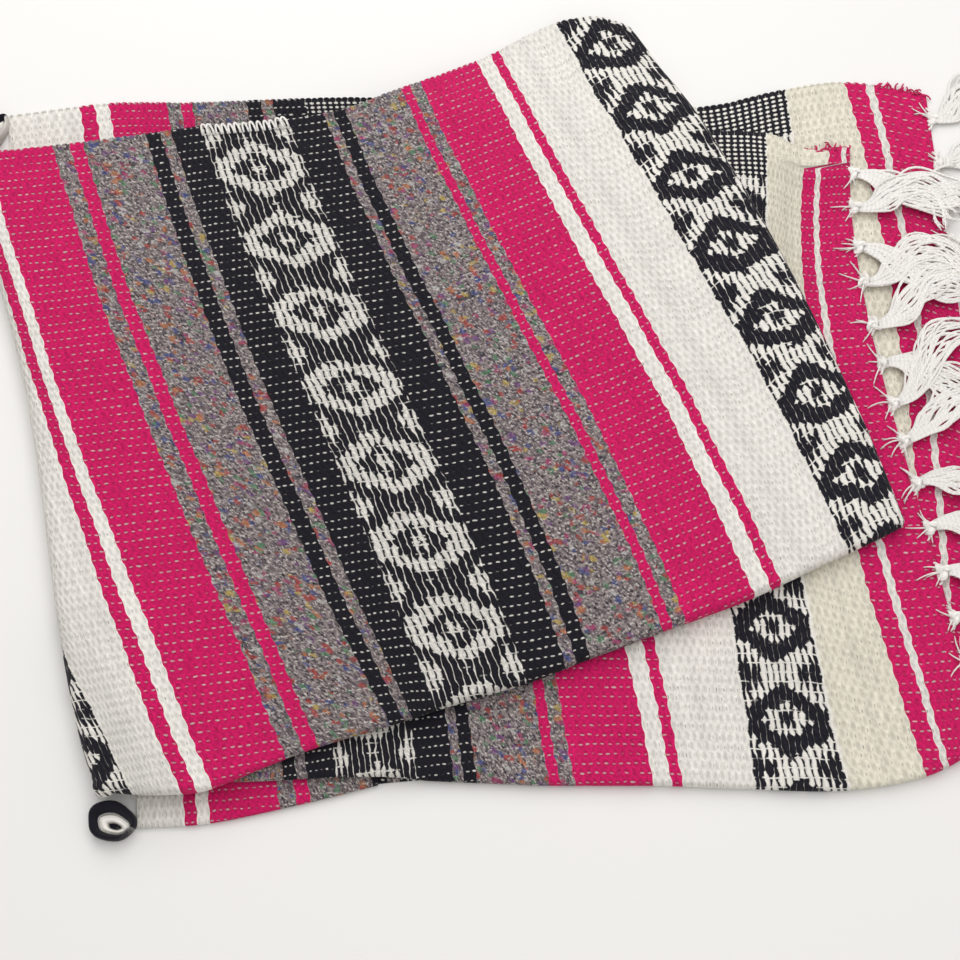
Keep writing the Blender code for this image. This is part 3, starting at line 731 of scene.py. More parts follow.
@dataclass(frozen=True)
class CottonYarn:
    """Soft two-ply cotton, for fringes and loose ends."""

    name: str = "Cotton yarn"
    colour: Colour = (0.950, 0.925, 0.900)
    second: Colour = (0.920, 0.885, 0.840)
    relief: float = 0.0004

    def make(self) -> Material:
        """Builds the material.

        Returns:
            The material.
        """
        n = Nodes(self.name)
        along, round_it, strand = n.place("yarn")
        twist = (along * 1500.0 + round_it * 2.0).math("SINE") * 0.5 + 0.5
        fuzz = n.noise(n.vector(along * 900.0, round_it, strand * 3.0), 1.0, 3.0)
        tone = n.chance(n.vector(strand, 0.0)) * 0.07 + 0.93
        shading = twist.step(0.0, 0.6, 0.88, 1.0) * (fuzz * 0.16 + 0.92) * tone
        base = n.mix(n.chance(n.vector(strand, 2.0)), self.colour, self.second)
        n.cover(n.shade(base, shading), twist + fuzz * 0.6, 0.8, self.relief)
        n.fix({"Roughness": 0.95, "Sheen Weight": 0.25, "Specular IOR Level": 0.15})
        return n.material


@dataclass(frozen=True)
class TableTop:
    """The pale plain table."""

    colour: Colour = (0.80, 0.79, 0.775)

    def make(self) -> Material:
        """Builds the material.

        Returns:
            The material.
        """
        n = Nodes("Pale table")
        n.fix({"Base Color": (*self.colour, 1.0), "Roughness": 0.6, "Specular IOR Level": 0.25})
        return n.material


# The lie of the cloth

class Lie:
    """Where places in a stretch of cloth lie, from lines across it."""

    def __init__(self, rails: Sequence[tuple]) -> None:
        """Takes the lines across the cloth.

        Args:
            rails: Rows of a cut position and four places from selvedge to folded edge.
        """
        self.cuts = np.array([rail[0] for rail in rails])
        self.points = np.array([rail[1:] for rail in rails]) - np.array(PART_MIDDLE)

    @property
    def first(self) -> float:
        """The first line's cut."""
        return float(self.cuts[0])

    @property
    def last(self) -> float:
        """The last line's cut."""
        return float(self.cuts[-1])

    def on_rail(self, number: Array, weights: Array) -> Array:
        """Places on numbered lines."""
        return np.einsum("...k,...kd->...d", weights, self.points[number])

    def spots(self, cut: Array, across: Array) -> Array:
        """Where places in the cloth lie, seen from above.

        Args:
            cut: Distances along the blanket from its middle.
            across: Shares of the way from selvedge to folded edge.

        Returns:
            Rows of x and y.
        """
        cut, across = np.broadcast_arrays(np.asarray(cut, float), np.asarray(across, float))
        weights = thirds(across)
        top = len(self.cuts) - 1
        span = np.clip(np.searchsorted(self.cuts, cut) - 1, 0, top - 1)
        before, after = np.maximum(span - 1, 0), np.minimum(span + 2, top)
        c0, c1 = self.cuts[span][..., None], self.cuts[span + 1][..., None]
        p0, p1 = self.on_rail(span, weights), self.on_rail(span + 1, weights)
        s0 = (p1 - self.on_rail(before, weights)) / (c1 - self.cuts[before][..., None])
        s1 = (self.on_rail(after, weights) - p0) / (self.cuts[after][..., None] - c0)
        width = c1 - c0
        t = (cut[..., None] - c0) / width
        return ((2 * t**3 - 3 * t**2 + 1) * p0 + (t**3 - 2 * t**2 + t) * width * s0
                + (3 * t**2 - 2 * t**3) * p1 + (t**3 - t**2) * width * s1)

    def ways(self, cut: Array, across: Array) -> tuple:
        """The directions along the blanket and towards the folded edge, at places.

        Args:
            cut: Distances along the blanket from its middle.
            across: Shares of the way from selvedge to folded edge.

        Returns:
            The two directions at each place, at length 1.
        """
        step = 0.002
        along = unit(self.spots(cut + step, across) - self.spots(cut - step, across))
        down = unit(self.spots(cut, across) - self.spots(cut, across - step))
        return along, down


LEAF = Lie((
    (0.000, (-0.613, 0.232), (-0.538, 0.026), (-0.456, -0.175), (-0.357, -0.366)),
    (0.042, (-0.572, 0.238), (-0.498, 0.031), (-0.418, -0.171), (-0.316, -0.374)),
    (0.106, (-0.513, 0.250), (-0.434, 0.041), (-0.354, -0.167), (-0.261, -0.376)),
    (0.132, (-0.488, 0.251), (-0.414, 0.041), (-0.327, -0.165), (-0.235, -0.372)),
    (0.224, (-0.398, 0.264), (-0.323, 0.061), (-0.236, -0.138), (-0.146, -0.336)),
    (0.289, (-0.333, 0.274), (-0.261, 0.072), (-0.176, -0.125), (-0.081, -0.315)),
    (0.349, (-0.282, 0.282), (-0.206, 0.087), (-0.122, -0.108), (-0.045, -0.301)),
    (0.435, (-0.196, 0.291), (-0.121, 0.102), (-0.038, -0.087), (0.036, -0.276)),
    (0.495, (-0.140, 0.303), (-0.062, 0.119), (0.022, -0.065), (0.092, -0.254)),
    (0.560, (-0.086, 0.327), (-0.005, 0.141), (0.080, -0.043), (0.156, -0.230)),
    (0.652, (-0.008, 0.363), (0.075, 0.176), (0.163, -0.009), (0.240, -0.198)),
    (0.742, (0.070, 0.407), (0.158, 0.219), (0.247, 0.033), (0.325, -0.158)),
    (0.784, (0.113, 0.415), (0.202, 0.225), (0.288, 0.045), (0.363, -0.139)),
    (0.826, (0.155, 0.401), (0.247, 0.231), (0.329, 0.056), (0.400, -0.119)),
))
MIDDLE = Lie((
    (0.132, (-0.410, 0.232), (-0.380, 0.050), (-0.345, -0.153), (-0.290, -0.366)),
    (0.224, (-0.332, 0.244), (-0.302, 0.060), (-0.268, -0.146), (-0.220, -0.366)),
    (0.392, (-0.184, 0.268), (-0.156, 0.072), (-0.126, -0.140), (-0.096, -0.361)),
    (0.560, (-0.016, 0.286), (0.004, 0.072), (0.024, -0.146), (0.053, -0.366)),
    (0.652, (0.093, 0.289), (0.096, 0.069), (0.113, -0.150), (0.146, -0.366)),
    (0.742, (0.192, 0.286), (0.200, 0.069), (0.214, -0.151), (0.232, -0.369)),
    (0.826, (0.278, 0.284), (0.272, 0.066), (0.283, -0.153), (0.314, -0.370)),
    (0.882, (0.316, 0.266), (0.308, 0.057), (0.337, -0.150), (0.382, -0.358)),
    (0.941, (0.360, 0.268), (0.366, 0.068), (0.401, -0.130), (0.430, -0.334)),
))
UNDER = Lie((
    (0.050, (-0.478, 0.306), (-0.436, 0.073), (-0.374, -0.165), (-0.308, -0.374)),
    (0.132, (-0.380, 0.320), (-0.332, 0.082), (-0.285, -0.158), (-0.238, -0.387)),
    (0.224, (-0.297, 0.321), (-0.249, 0.088), (-0.201, -0.146), (-0.153, -0.368)),
    (0.392, (-0.142, 0.327), (-0.099, 0.095), (-0.057, -0.138), (-0.012, -0.355)),
    (0.560, (0.029, 0.324), (0.064, 0.094), (0.098, -0.137), (0.133, -0.355)),
    (0.742, (0.213, 0.316), (0.238, 0.090), (0.264, -0.138), (0.285, -0.355)),
    (0.826, (0.300, 0.336), (0.318, 0.104), (0.336, -0.129), (0.351, -0.351)),
    (0.882, (0.362, 0.345), (0.391, 0.117), (0.398, -0.115), (0.392, -0.338)),
    (0.941, (0.442, 0.332), (0.452, 0.111), (0.458, -0.106), (0.447, -0.316)),
))
TUCK = Lie((
    (0.056, (-0.309, -0.316), (-0.306, -0.345), (-0.303, -0.373), (-0.300, -0.402)),
    (0.132, (-0.250, -0.312), (-0.246, -0.341), (-0.242, -0.369), (-0.238, -0.398)),
    (0.224, (-0.168, -0.306), (-0.163, -0.330), (-0.158, -0.355), (-0.153, -0.379)),
    (0.290, (-0.108, -0.306), (-0.103, -0.325), (-0.099, -0.344), (-0.095, -0.364)),
))


@dataclass(frozen=True)
class Crease:
    """A soft ridge or, with a rise below 0, a trough, from one place to another."""

    start: tuple
    end: tuple
    reach: float
    rise: float

    def lift(self, flat: Array) -> Array:
        """How much it lifts the cloth at places.

        Args:
            flat: Places, seen from above.

        Returns:
            The rise at each.
        """
        start = np.array(self.start) - PART_MIDDLE
        line = np.array(self.end) - self.start
        share = np.clip((flat - start) @ line / (line @ line), 0.0, 1.0)
        away = np.linalg.norm(flat - start - share[..., None] * line, axis=-1)
        fade = np.sin(math.pi * (0.15 + 0.70 * share))
        return self.rise * fade * np.exp(-(away / self.reach) ** 2)


@dataclass(frozen=True)
class Billow:
    """A soft mound."""

    x: float
    y: float
    reach_x: float
    reach_y: float
    rise: float

    def lift(self, flat: Array) -> Array:
        """How much it lifts the cloth at places.

        Args:
            flat: Places, seen from above.

        Returns:
            The rise at each.
        """
        aside = (flat[..., 0] + PART_MIDDLE[0] - self.x) / self.reach_x
        along = (flat[..., 1] + PART_MIDDLE[1] - self.y) / self.reach_y
        return self.rise * np.exp(-aside ** 2 - along ** 2)


@dataclass(frozen=True)
class Pile:
    """How high each stretch of cloth lies over a place on the table."""

    under_top: float = 0.0030
    tuck_top: float = 0.0063
    middle_top: float = 0.0067
    middle_on_tuck: float = 0.0099
    leaf_top: float = 0.0225
    leaf_corner: float = 0.0145     # the leaf over its far corner, past the lower half
    under_far: float = 0.333        # the lowest ply's far edge, along Y
    under_left: tuple = (-0.437, 0.073, -0.235)     # its left edge: an X, the Y there and the slant
    middle_far: float = 0.288
    middle_width: float = 0.654
    foot_rise: float = 0.0036       # how far the middle ply bulges at its near fold
    spine_rise: float = 0.0085      # how far the leaf bulges at the left, near and far
    spine_rise_far: float = 0.0034
    spine_reach: float = 0.075
    left_brink: tuple = (0.110, 0.113, 0.083, 0.036)    # cuts where the leaf's left roll starts
    right_brink: tuple = (0.814, 0.818, 0.810, 0.797)   # and its right one, from selvedge to folded edge
    climb_left: tuple = (0.045, 0.088)      # where the middle ply climbs on the tucked edge
    climb_below: tuple = (0.230, 0.298)
    creases: tuple = (
        Crease((-0.40, 0.16), (-0.26, -0.30), 0.030, 0.0022),
        Crease((-0.24, 0.24), (-0.12, 0.02), 0.026, -0.0014),
        Crease((-0.13, -0.02), (0.00, -0.22), 0.030, 0.0016),
        Crease((-0.02, 0.28), (0.12, 0.08), 0.034, 0.0018),
        Crease((0.10, 0.02), (0.20, -0.14), 0.024, -0.0014),
        Crease((0.20, 0.20), (0.33, -0.06), 0.022, 0.0015),
        Crease((-0.33, -0.31), (-0.20, -0.30), 0.022, 0.0012),
    )
    billows: tuple = (
        Billow(0.335, 0.245, 0.030, 0.026, 0.0040),
        Billow(0.345, 0.080, 0.020, 0.050, 0.0022),
        Billow(0.300, -0.235, 0.034, 0.060, 0.0026),
        Billow(0.395, -0.275, 0.024, 0.040, 0.0024),
        Billow(0.170, -0.300, 0.045, 0.030, 0.0018),
    )

    @staticmethod
    def table(flat: Array) -> tuple:
        """A place's x and y in the measured layout."""
        return flat[..., 0] + PART_MIDDLE[0], flat[..., 1] + PART_MIDDLE[1]

    def middle(self, flat: Array, across: Array) -> Array:
        """The upper face of the middle ply.

        Args:
            flat: Places, seen from above.
            across: Shares of the way from selvedge to folded edge.

        Returns:
            Its height at each place.
        """
        x, y = self.table(flat)
        on_tuck = smooth(-x, *self.climb_left) * smooth(-y, *self.climb_below)
        height = self.middle_top + (self.middle_on_tuck - self.middle_top) * on_tuck
        for billow in self.billows:
            height = height + billow.lift(flat)
        return height + self.foot_rise * smooth(across, 0.93, 0.99)

    def rest(self, flat: Array) -> Array:
        """The height that a rolled edge of the top leaf comes down to.

        Args:
            flat: Places, seen from above.

        Returns:
            The height at each place.
        """
        x, y = self.table(flat)
        left_edge = self.under_left[0] + (y - self.under_left[1]) * self.under_left[2]
        height = self.middle(flat, (self.middle_far - y) / self.middle_width)
        height = height + (self.under_top + 2 * CLEAR - height) * smooth(y - self.middle_far, 0.0, 0.030)
        height = height * (1.0 - smooth(y - self.under_far, 0.022, 0.050))
        return FLOOR_CLEAR + height * smooth(x - left_edge, -0.002, 0.012)

    def leaf(self, flat: Array, cut: Array) -> Array:
        """The upper face of the top leaf.

        Args:
            flat: Places, seen from above.
            cut: Distances along the blanket from its middle.

        Returns:
            Its height at each place.
        """
        x, y = self.table(flat)
        past = smooth(y, self.middle_far + 0.002, self.under_far + 0.045) * smooth(x, -0.20, -0.02)
        height = self.leaf_top + (self.leaf_corner - self.leaf_top) * past
        near, far = (np.exp(-((cut - self.left_brink[k]) / self.spine_reach) ** 2) for k in (3, 0))
        height = height + self.spine_rise * near + self.spine_rise_far * far
        for crease in self.creases:
            height = height + crease.lift(flat)
        return height


PILE = Pile()


# Making meshes

def make_piece(name: str, points: Array, faces: Sequence, marks: Array, material: Material,
               label: str, slot: Slot) -> Piece:
    """Makes a smooth object that rides on the part's body.

    Args:
        name: The piece's name.
        points: Its corners.
        faces: Its faces, as corner numbers.
        marks: The point attribute's three numbers for each corner.
        material: Its finish.
        label: The point attribute's name.
        slot: The record's material slot; not used.

    Returns:
        The piece.
    """
    mesh = bpy.data.meshes.new(name)
    mesh.from_pydata(points.tolist(), [], faces)
    attribute = mesh.attributes.new(label, "FLOAT_VECTOR", "POINT")
    attribute.data.foreach_set("vector", np.asarray(marks, dtype=np.float32).ravel())
    mesh.shade_smooth()
    mesh.validate()
    piece = bpy.data.objects.new(name, mesh)
    bpy.context.scene.collection.objects.link(piece)
    mesh.materials.append(material)
    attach(piece, BODY)
    triangles = sum(len(face) - 2 for face in faces)
    log.info("%s: %d triangles", name, triangles)
    return piece


def grid_faces(rows: int, columns: int, start: int = 0, flip: bool = False) -> list:
    """Four-sided faces of a grid of corners, in rows.

    Args:
        rows: Rows of corners.
        columns: Corners in a row.
        start: The first corner's number.
        flip: Whether the faces look down.

    Returns:
        The faces.
    """
    numbers = np.arange(rows * columns).reshape(rows, columns) + start
    quads = np.stack([numbers[:-1, :-1], numbers[1:, :-1], numbers[1:, 1:], numbers[:-1, 1:]], axis=-1)
    quads = quads.reshape(-1, 4)
    return (quads[:, ::-1] if flip else quads).tolist()


def border(rows: int, columns: int) -> list:
    """The numbers of a grid's border corners, once round.

    Args:
        rows: Rows of corners.
        columns: Corners in a row.

    Returns:
        A row and a column for each.
    """
    top = [(0, c) for c in range(columns - 1)]
    right = [(r, columns - 1) for r in range(rows - 1)]
    bottom = [(rows - 1, c) for c in range(columns - 1, 0, -1)]
    left = [(r, 0) for r in range(rows - 1, 0, -1)]
    return top + right + bottom + left


def normals(grid: Array) -> Array:
    """Upward normals of a grid of points.

    Args:
        grid: Rows of rows of points.

    Returns:
        One for each point, at length 1.
    """
    by_row = np.gradient(grid, axis=0)
    by_column = np.gradient(grid, axis=1)
    return unit(np.cross(by_row, by_column))


def tube_faces(rings: int, around: int, start: int = 0) -> list:
    """Faces of a tube of rings of corners, with flat ends.

    Args:
        rings: How many rings.
        around: Corners in a ring.
        start: The first corner's number.

    Returns:
        The faces.
    """
    numbers = np.arange(rings * around).reshape(rings, around) + start
    after = np.roll(numbers, -1, axis=1)
    quads = np.stack([numbers[:-1], numbers[1:], after[1:], after[:-1]], axis=-1).reshape(-1, 4)
    return [*quads.tolist(), numbers[0].tolist(), numbers[-1][::-1].tolist()]


def stations(steps: int, before: int, after: int) -> tuple:
    """Grid lines over a flat stretch and past its ends.

    Args:
        steps: Steps over the flat stretch.
        before: Steps of the roll before it.
        after: Steps of the roll after it.

    Returns:
        Each line's share of the flat stretch, and its turn from -1 to 1.
    """
    number = np.arange(-before, steps + after + 1)
    turn = np.minimum(number, 0) / max(before, 1) + np.maximum(number - steps, 0) / max(after, 1)
    return np.clip(number / steps, 0.0, 1.0), turn


@dataclass
class Wall:
    """A closed wall between an upper and a lower grid of points, with a rounded rim."""

    upper: Array
    lower: Array
    marks: Array
    rim: float = 0.4        # how far the rim stands out, against the wall's thickness

    def mesh(self) -> tuple:
        """The wall's corners, faces and marks.

        Returns:
            The three.
        """
        rows, columns = self.upper.shape[:2]
        count = rows * columns
        ring = border(rows, columns)
        r, c = np.array(ring).T
        inner_r, inner_c = np.clip(r, 1, rows - 2), np.clip(c, 1, columns - 2)
        top, bottom = self.upper[r, c], self.lower[r, c]
        outward = unit(top - self.upper[inner_r, inner_c])
        thick = np.linalg.norm(top - bottom, axis=-1, keepdims=True)
        shares = (0.2, 0.5, 0.8)
        rings = [top + (bottom - top) * share + outward * thick * self.rim * math.sin(math.pi * share)
                 for share in shares]
        points = np.concatenate([self.upper.reshape(-1, 3), self.lower.reshape(-1, 3), *rings])
        faces = grid_faces(rows, columns) + grid_faces(rows, columns, count, True)
        size = len(ring)
        numbers = [r * columns + c]
        numbers += [2 * count + size * k + np.arange(size) for k in range(len(shares))]
        numbers += [count + r * columns + c]
        for high, low in zip(numbers, numbers[1:]):
            after = np.roll(np.arange(size), -1)
            faces += np.stack([high, high[after], low[after], low], axis=-1).tolist()
        edge = self.marks[r, c]
        marks = np.concatenate([self.marks.reshape(-1, 3)] * 2 + [edge] * len(shares))
        return points, faces, marks


@dataclass
class Stretch:
    """A stretch of the blanket: a grid of places in the cloth, rolled under at some of its edges."""

    name: str
    lie: Lie
    nodes: tuple
    slot: Slot
    ply: float                  # 0 on top, more for each ply below
    flat: tuple                 # the cut, across and along the blanket
    rests_on: tuple = ()
    thickness: float = PLY
    columns: int = 200
    rows: int = 180
    roll: int = 14
    curl: float = 0.0
    foot_brink: float = 1.0     # how far across the near roll starts
    softness: float = 1.0
    level: float = 0.0          # the height of the upper face, where it is flat
    base: float = 0.0           # the height that a rolled edge comes down to, where that is flat

    def places(self) -> tuple:
        """Cuts, shares across, and turns along and across, for each grid point.

        Returns:
            The four, each for every grid point.
        """
        share, _ = stations(self.columns, 0, 0)
        down, turn = stations(self.rows, 0, self.roll if self.curl else 0)
        cut = self.lie.first + share[None, :] * (self.lie.last - self.lie.first)
        across = down[:, None] * self.foot_brink
        return tuple(np.broadcast_arrays(cut, across, 0.0 * cut, self.curl * turn[:, None]))

    def top(self, flat: Array, cut: Array, across: Array) -> Array:
        """The height of the upper face."""
        return np.full(flat.shape[:-1], self.level)

    def bottom(self, flat: Array) -> Array:
        """The height that a rolled edge comes down to."""
        return np.full(flat.shape[:-1], self.base)

    def soft(self, flat: Array) -> Array:
        """The cloth's small unevenness."""
        return self.softness * sum(rise * ripple(flat, size, seed) for rise, size, seed in UNEVEN)

    def surface(self) -> tuple:
        """The upper face's points and marks.

        Returns:
            The two, each for every grid point.
        """
        cut, across, turn_along, turn_across = self.places()
        flat = self.lie.spots(cut, across)
        turn = np.maximum(np.abs(turn_along), np.abs(turn_across))
        height = self.top(flat, cut, across) + self.soft(flat)
        along, down = self.lie.ways(cut, across)
        outward = unit(turn_along[..., None] * along + turn_across[..., None] * down)
        half = (height - self.bottom(flat + 0.008 * outward)) / 2.0
        half = np.where(turn > 0.0, half, 0.0)
        reach = (half * np.sin(turn))[..., None]
        level = height - half * (1.0 - np.cos(turn))
        points = np.concatenate([flat + outward * reach, level[..., None]], axis=-1)
        from_selvedge = np.linalg.norm(flat - self.lie.spots(cut, 0.0 * across), axis=-1)
        marks = np.stack([cut + half * turn_along, from_selvedge + half * turn_across,
                          np.full_like(cut, self.ply)], axis=-1)
        return points, self.eased(marks)

    def eased(self, marks: Array) -> Array:
        """The marks, after what the cloth has slipped or sheared."""
        return marks

    def underside(self, points: Array) -> Array:
        """The lower face's points."""
        return points - normals(points) * self.thickness

    def build(self, material: Material) -> Piece:
        """Builds the stretch in the woven finish.

        Args:
            material: The woven finish.

        Returns:
            The piece.
        """
        points, marks = self.surface()
        wall = Wall(points, self.underside(points), marks)
        piece = make_piece(self.name, *wall.mesh(), material, "cloth", self.slot)
        if self.nodes:
            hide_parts(*self.nodes)
        return piece

    def declare(self, piece: Piece, with_pieces: Sequence = ()) -> None:
        """Takes the piece and what goes with it, and does nothing with them."""


@dataclass
class TopLeaf(Stretch):
    """The upper quarter of the blanket, rolled under on its left, right and near sides."""

    curl: float = math.radians(150)
    foot_brink: float = 0.987
    shear: float = 0.38             # how far the warps lean at the right
    sheared: tuple = (0.680, 0.735)     # cuts where that starts and is full
    turned: float = 0.017           # how far the left-hand band turns aside at its near end

    def places(self) -> tuple:
        """Cuts, shares across, and turns along and across, for each grid point.

        Returns:
            The four, each for every grid point.
        """
        share, turn_along = stations(self.columns, self.roll, self.roll)
        down, turn_across = stations(self.rows, 0, self.roll)
        across = down * self.foot_brink
        left, right = four_way(PILE.left_brink, across), four_way(PILE.right_brink, across)
        cut = left[:, None] + share[None, :] * (right - left)[:, None]
        return tuple(np.broadcast_arrays(cut, across[:, None], self.curl * turn_along[None, :],
                                         self.curl * turn_across[:, None]))

    def top(self, flat: Array, cut: Array, across: Array) -> Array:
        """The height of the upper face."""
        return PILE.leaf(flat, cut)

    def bottom(self, flat: Array) -> Array:
        """The height that a rolled edge comes down to."""
        return PILE.rest(flat)

    def eased(self, marks: Array) -> Array:
        """The marks, with the warps aslant at the right and the left-hand band turned at its near end.

        Args:
            marks: Each point's cut, distance from the selvedge and ply.

        Returns:
            The same after the cloth's shear.
        """
        cut, down = marks[..., 0], marks[..., 1]
        sheared = down + self.shear * (cut - 2.0 * FIGURE_STEP) * smooth(cut, *self.sheared)
        turned = cut - self.turned * smooth(down, 0.43, 0.62) * (1.0 - smooth(cut, 0.050, 0.100))
        return np.stack([turned, sheared, marks[..., 2]], axis=-1)


@dataclass
class MiddlePly(Stretch):
    """The upper ply of the lower half, rolled down round the ply below it."""

    curl: float = math.radians(140)
    foot_brink: float = 0.990
    ridge: tuple = (0.032, 0.0024)      # how far from the selvedge the ridge lies, and its height
    dip: tuple = (0.050, -0.0006)       # the same of the trough beside it
    ridge_reach: float = 0.009
    slip: float = 0.033                 # how far the curled selvedge has slipped at the cut end
    slip_from: float = 0.8267
    slip_over: float = 0.0883

    def top(self, flat: Array, cut: Array, across: Array) -> Array:
        """The height of the upper face, with a soft ridge where the selvedge has curled.

        Args:
            flat: Places, seen from above.
            cut: Distances along the blanket from its middle.
            across: Shares of the way from selvedge to folded edge.

        Returns:
            Its height at each place.
        """
        down = across * PILE.middle_width
        ridge = sum(rise * np.exp(-((down - place) / self.ridge_reach) ** 2)
                    for place, rise in (self.ridge, self.dip))
        return PILE.middle(flat, across) + ridge * smooth(cut, 0.78, 0.84)

    def eased(self, marks: Array) -> Array:
        """The marks, with the curled selvedge shifted past the ridge at the right.

        Args:
            marks: Each point's cut, distance from the selvedge and ply.

        Returns:
            The same after the slip.
        """
        cut, down = marks[..., 0], marks[..., 1]
        slip = self.slip * np.clip((cut - self.slip_from) / self.slip_over, 0.0, 1.0)
        slipped = cut - slip * (1.0 - smooth(down, 0.0200, 0.0230))
        return np.stack([slipped, down, marks[..., 2]], axis=-1)

    def bottom(self, flat: Array) -> Array:
        """The height that a rolled edge comes down to."""
        x, _ = PILE.table(flat)
        return FLOOR_CLEAR + smooth(-x, *PILE.climb_left) * (PILE.tuck_top + CLEAR)


@dataclass
class UnderPly(Stretch):
    """The lowest ply, flat on the table."""

    level: float = PILE.under_top
    lift: float = 0.0002        # how far it keeps off the table

    def underside(self, points: Array) -> Array:
        """The lower face's points, flat on the table."""
        return points * np.array([1.0, 1.0, 0.0]) + np.array([0.0, 0.0, self.lift])


@dataclass
class TuckedEdge(Stretch):
    """The strip of folded edge below the middle ply, at the near left."""

    curl: float = math.radians(120)
    foot_brink: float = 0.950
    level: float = PILE.tuck_top
    base: float = FLOOR_CLEAR
    width: float = 0.09         # how much of the cloth's width it shows

    def surface(self) -> tuple:
        """The upper face's points and marks, counted from the folded edge.

        Returns:
            The two, each for every grid point.
        """
        points, marks = super().surface()
        marks[..., 1] += CLOTH_WIDTH - self.width
        return points, marks


@dataclass
class HiddenPly(Stretch):
    """One of the plies inside the top leaf, seen only at its edges."""

    number: int = 0
    count: int = 3
    corner: bool = False        # whether it lies in the far corner, past the lower half
    inset: float = 0.0030       # how far inside the leaf's edges it ends
    far_inset: float = 0.010    # the same at the selvedge
    corner_cut: float = 0.640   # where the corner's plies start, along the blanket
    past: float = 0.006         # how far past the lowest ply's far edge the others start
    corner_past: float = 0.018  # how far past it the corner's plies end

    def past_line(self, cut: Array, line: float) -> Array:
        """The share across at which the leaf comes down to a line along X, for each cut.

        Args:
            cut: The cuts.
            line: The line's Y in the measured layout.

        Returns:
            A share for each cut.
        """
        samples = np.linspace(self.far_inset / LEAF_WIDTH, 0.40, 160)
        result = []
        for one in cut:
            y = self.lie.spots(one, samples)[:, 1] + PART_MIDDLE[1]
            result.append(np.interp(-line, -y, samples))
        return np.array(result)

    def places(self) -> tuple:
        """Cuts, shares across, and turns along and across, for each grid point.

        Returns:
            The four, each for every grid point.
        """
        share = np.linspace(0.0, 1.0, self.columns + 1)
        down = np.linspace(0.0, 1.0, self.rows + 1)[:, None]
        right_brink, left_brink = PILE.right_brink, PILE.left_brink
        if self.corner:
            rough = self.corner_cut + share * (right_brink[0] - self.inset - self.corner_cut)
            start = np.full_like(rough, self.far_inset / LEAF_WIDTH)
            end = self.past_line(rough, PILE.under_far + self.corner_past)
        else:
            rough = left_brink[0] + share * (right_brink[0] - left_brink[0])
            start = self.past_line(rough, PILE.under_far + self.past)
            end = np.full_like(rough, TopLeaf.foot_brink - self.inset / LEAF_WIDTH)
        across = start[None, :] + down * (end - start)[None, :]
        if self.corner:
            cut = np.broadcast_to(rough[None, :], across.shape)
        else:
            left = four_way(left_brink, across) + self.inset
            right = four_way(right_brink, across) - self.inset
            cut = left + share[None, :] * (right - left)
        return cut, across, np.zeros_like(cut), np.zeros_like(cut)

    def top(self, flat: Array, cut: Array, across: Array) -> Array:
        """The height of the upper face.

        Args:
            flat: Places, seen from above.
            cut: Distances along the blanket from its middle.
            across: Shares of the way from selvedge to folded edge.

        Returns:
            Its height at each place.
        """
        x, y = PILE.table(flat)
        upper = PILE.leaf(flat, cut) - PLY - 3.0 * CLEAR
        if self.corner:
            lower = np.zeros_like(upper)
        else:
            lower = PILE.middle(flat, (PILE.middle_far - y) / PILE.middle_width) + CLEAR
        return lower + (upper - lower) * (self.number + 0.5) / self.count + self.thickness / 2.0


@dataclass
class SpineEnd:
    """An end of the left-hand fold, where the cloth curls over itself."""

    name: str
    x: float
    y: float
    turn: float
    length: float
    width: float
    height: float
    steps: int = 72
    black_at: float = 0.7478    # a black place in the cloth, as a cut
    white_at: float = 0.7300
    down_at: float = 0.3325     # how far from the selvedge both are
    ply: float = 4.0

    def rings(self) -> tuple:
        """The curl from the top's middle outwards and under.

        Returns:
            Each ring's distance from the middle, height and cut.
        """
        out = (0.04, 0.14, 0.24, 0.32, 0.40, 0.48, 0.56, 0.63, 0.69, 0.75, 0.82, 0.89, 0.95, 0.99, 1.0,
               0.985, 0.95, 0.88, 0.6, 0.2)
        up = (0.40, 0.38, 0.42, 0.56, 0.70, 0.74, 0.66, 0.50, 0.52, 0.70, 0.88, 0.93, 0.84, 0.66, 0.44,
              0.20, 0.06, 0.02, 0.02, 0.02)
        cuts = (self.black_at,) * 3 + (self.white_at,) * 5 + (self.black_at,) * 12
        return np.array(out), np.array(up), np.array(cuts)

    def build(self, material: Material) -> Piece:
        """Builds the curl.

        Args:
            material: The woven finish.

        Returns:
            The piece.
        """
        out, up, cuts = self.rings()
        angle = np.linspace(0.0, 2.0 * math.pi, self.steps, endpoint=False)
        inside = 1.0 - smooth(out, 0.45, 0.95)
        uneven = 1.0 + 0.035 * np.sin(3.0 * angle + 1.0) + 0.025 * np.sin(5.0 * angle)
        along = np.outer(out, np.cos(angle) * uneven) + 0.20 * inside[:, None]
        aside = np.outer(out * (1.0 - 0.42 * inside), np.sin(angle) * uneven) - 0.22 * inside[:, None]
        along, aside = along * self.length / 2.0, aside * self.width / 2.0
        far_side = 1.0 + 0.09 * np.sin(angle - 0.5)[None, :] * (out > 0.3)[:, None]
        height = up[:, None] * far_side * self.height
        x = self.x - PART_MIDDLE[0] + along * math.cos(self.turn) - aside * math.sin(self.turn)
        y = self.y - PART_MIDDLE[1] + along * math.sin(self.turn) + aside * math.cos(self.turn)
        grid = np.stack([x, y, height], axis=-1)
        arc = np.broadcast_to(angle * self.length * 0.4, x.shape)
        marks = np.stack([cuts[:, None] + 0.0 * x, self.down_at + 0.1 * arc, np.full_like(x, self.ply)],
                         axis=-1)
        faces = tube_faces(len(out), self.steps)
        piece = make_piece(f"{self.name}_curl", grid.reshape(-1, 3), faces, marks.reshape(-1, 3), material,
                           "cloth", Slot.BLACK)
        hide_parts(self.name)
        return piece


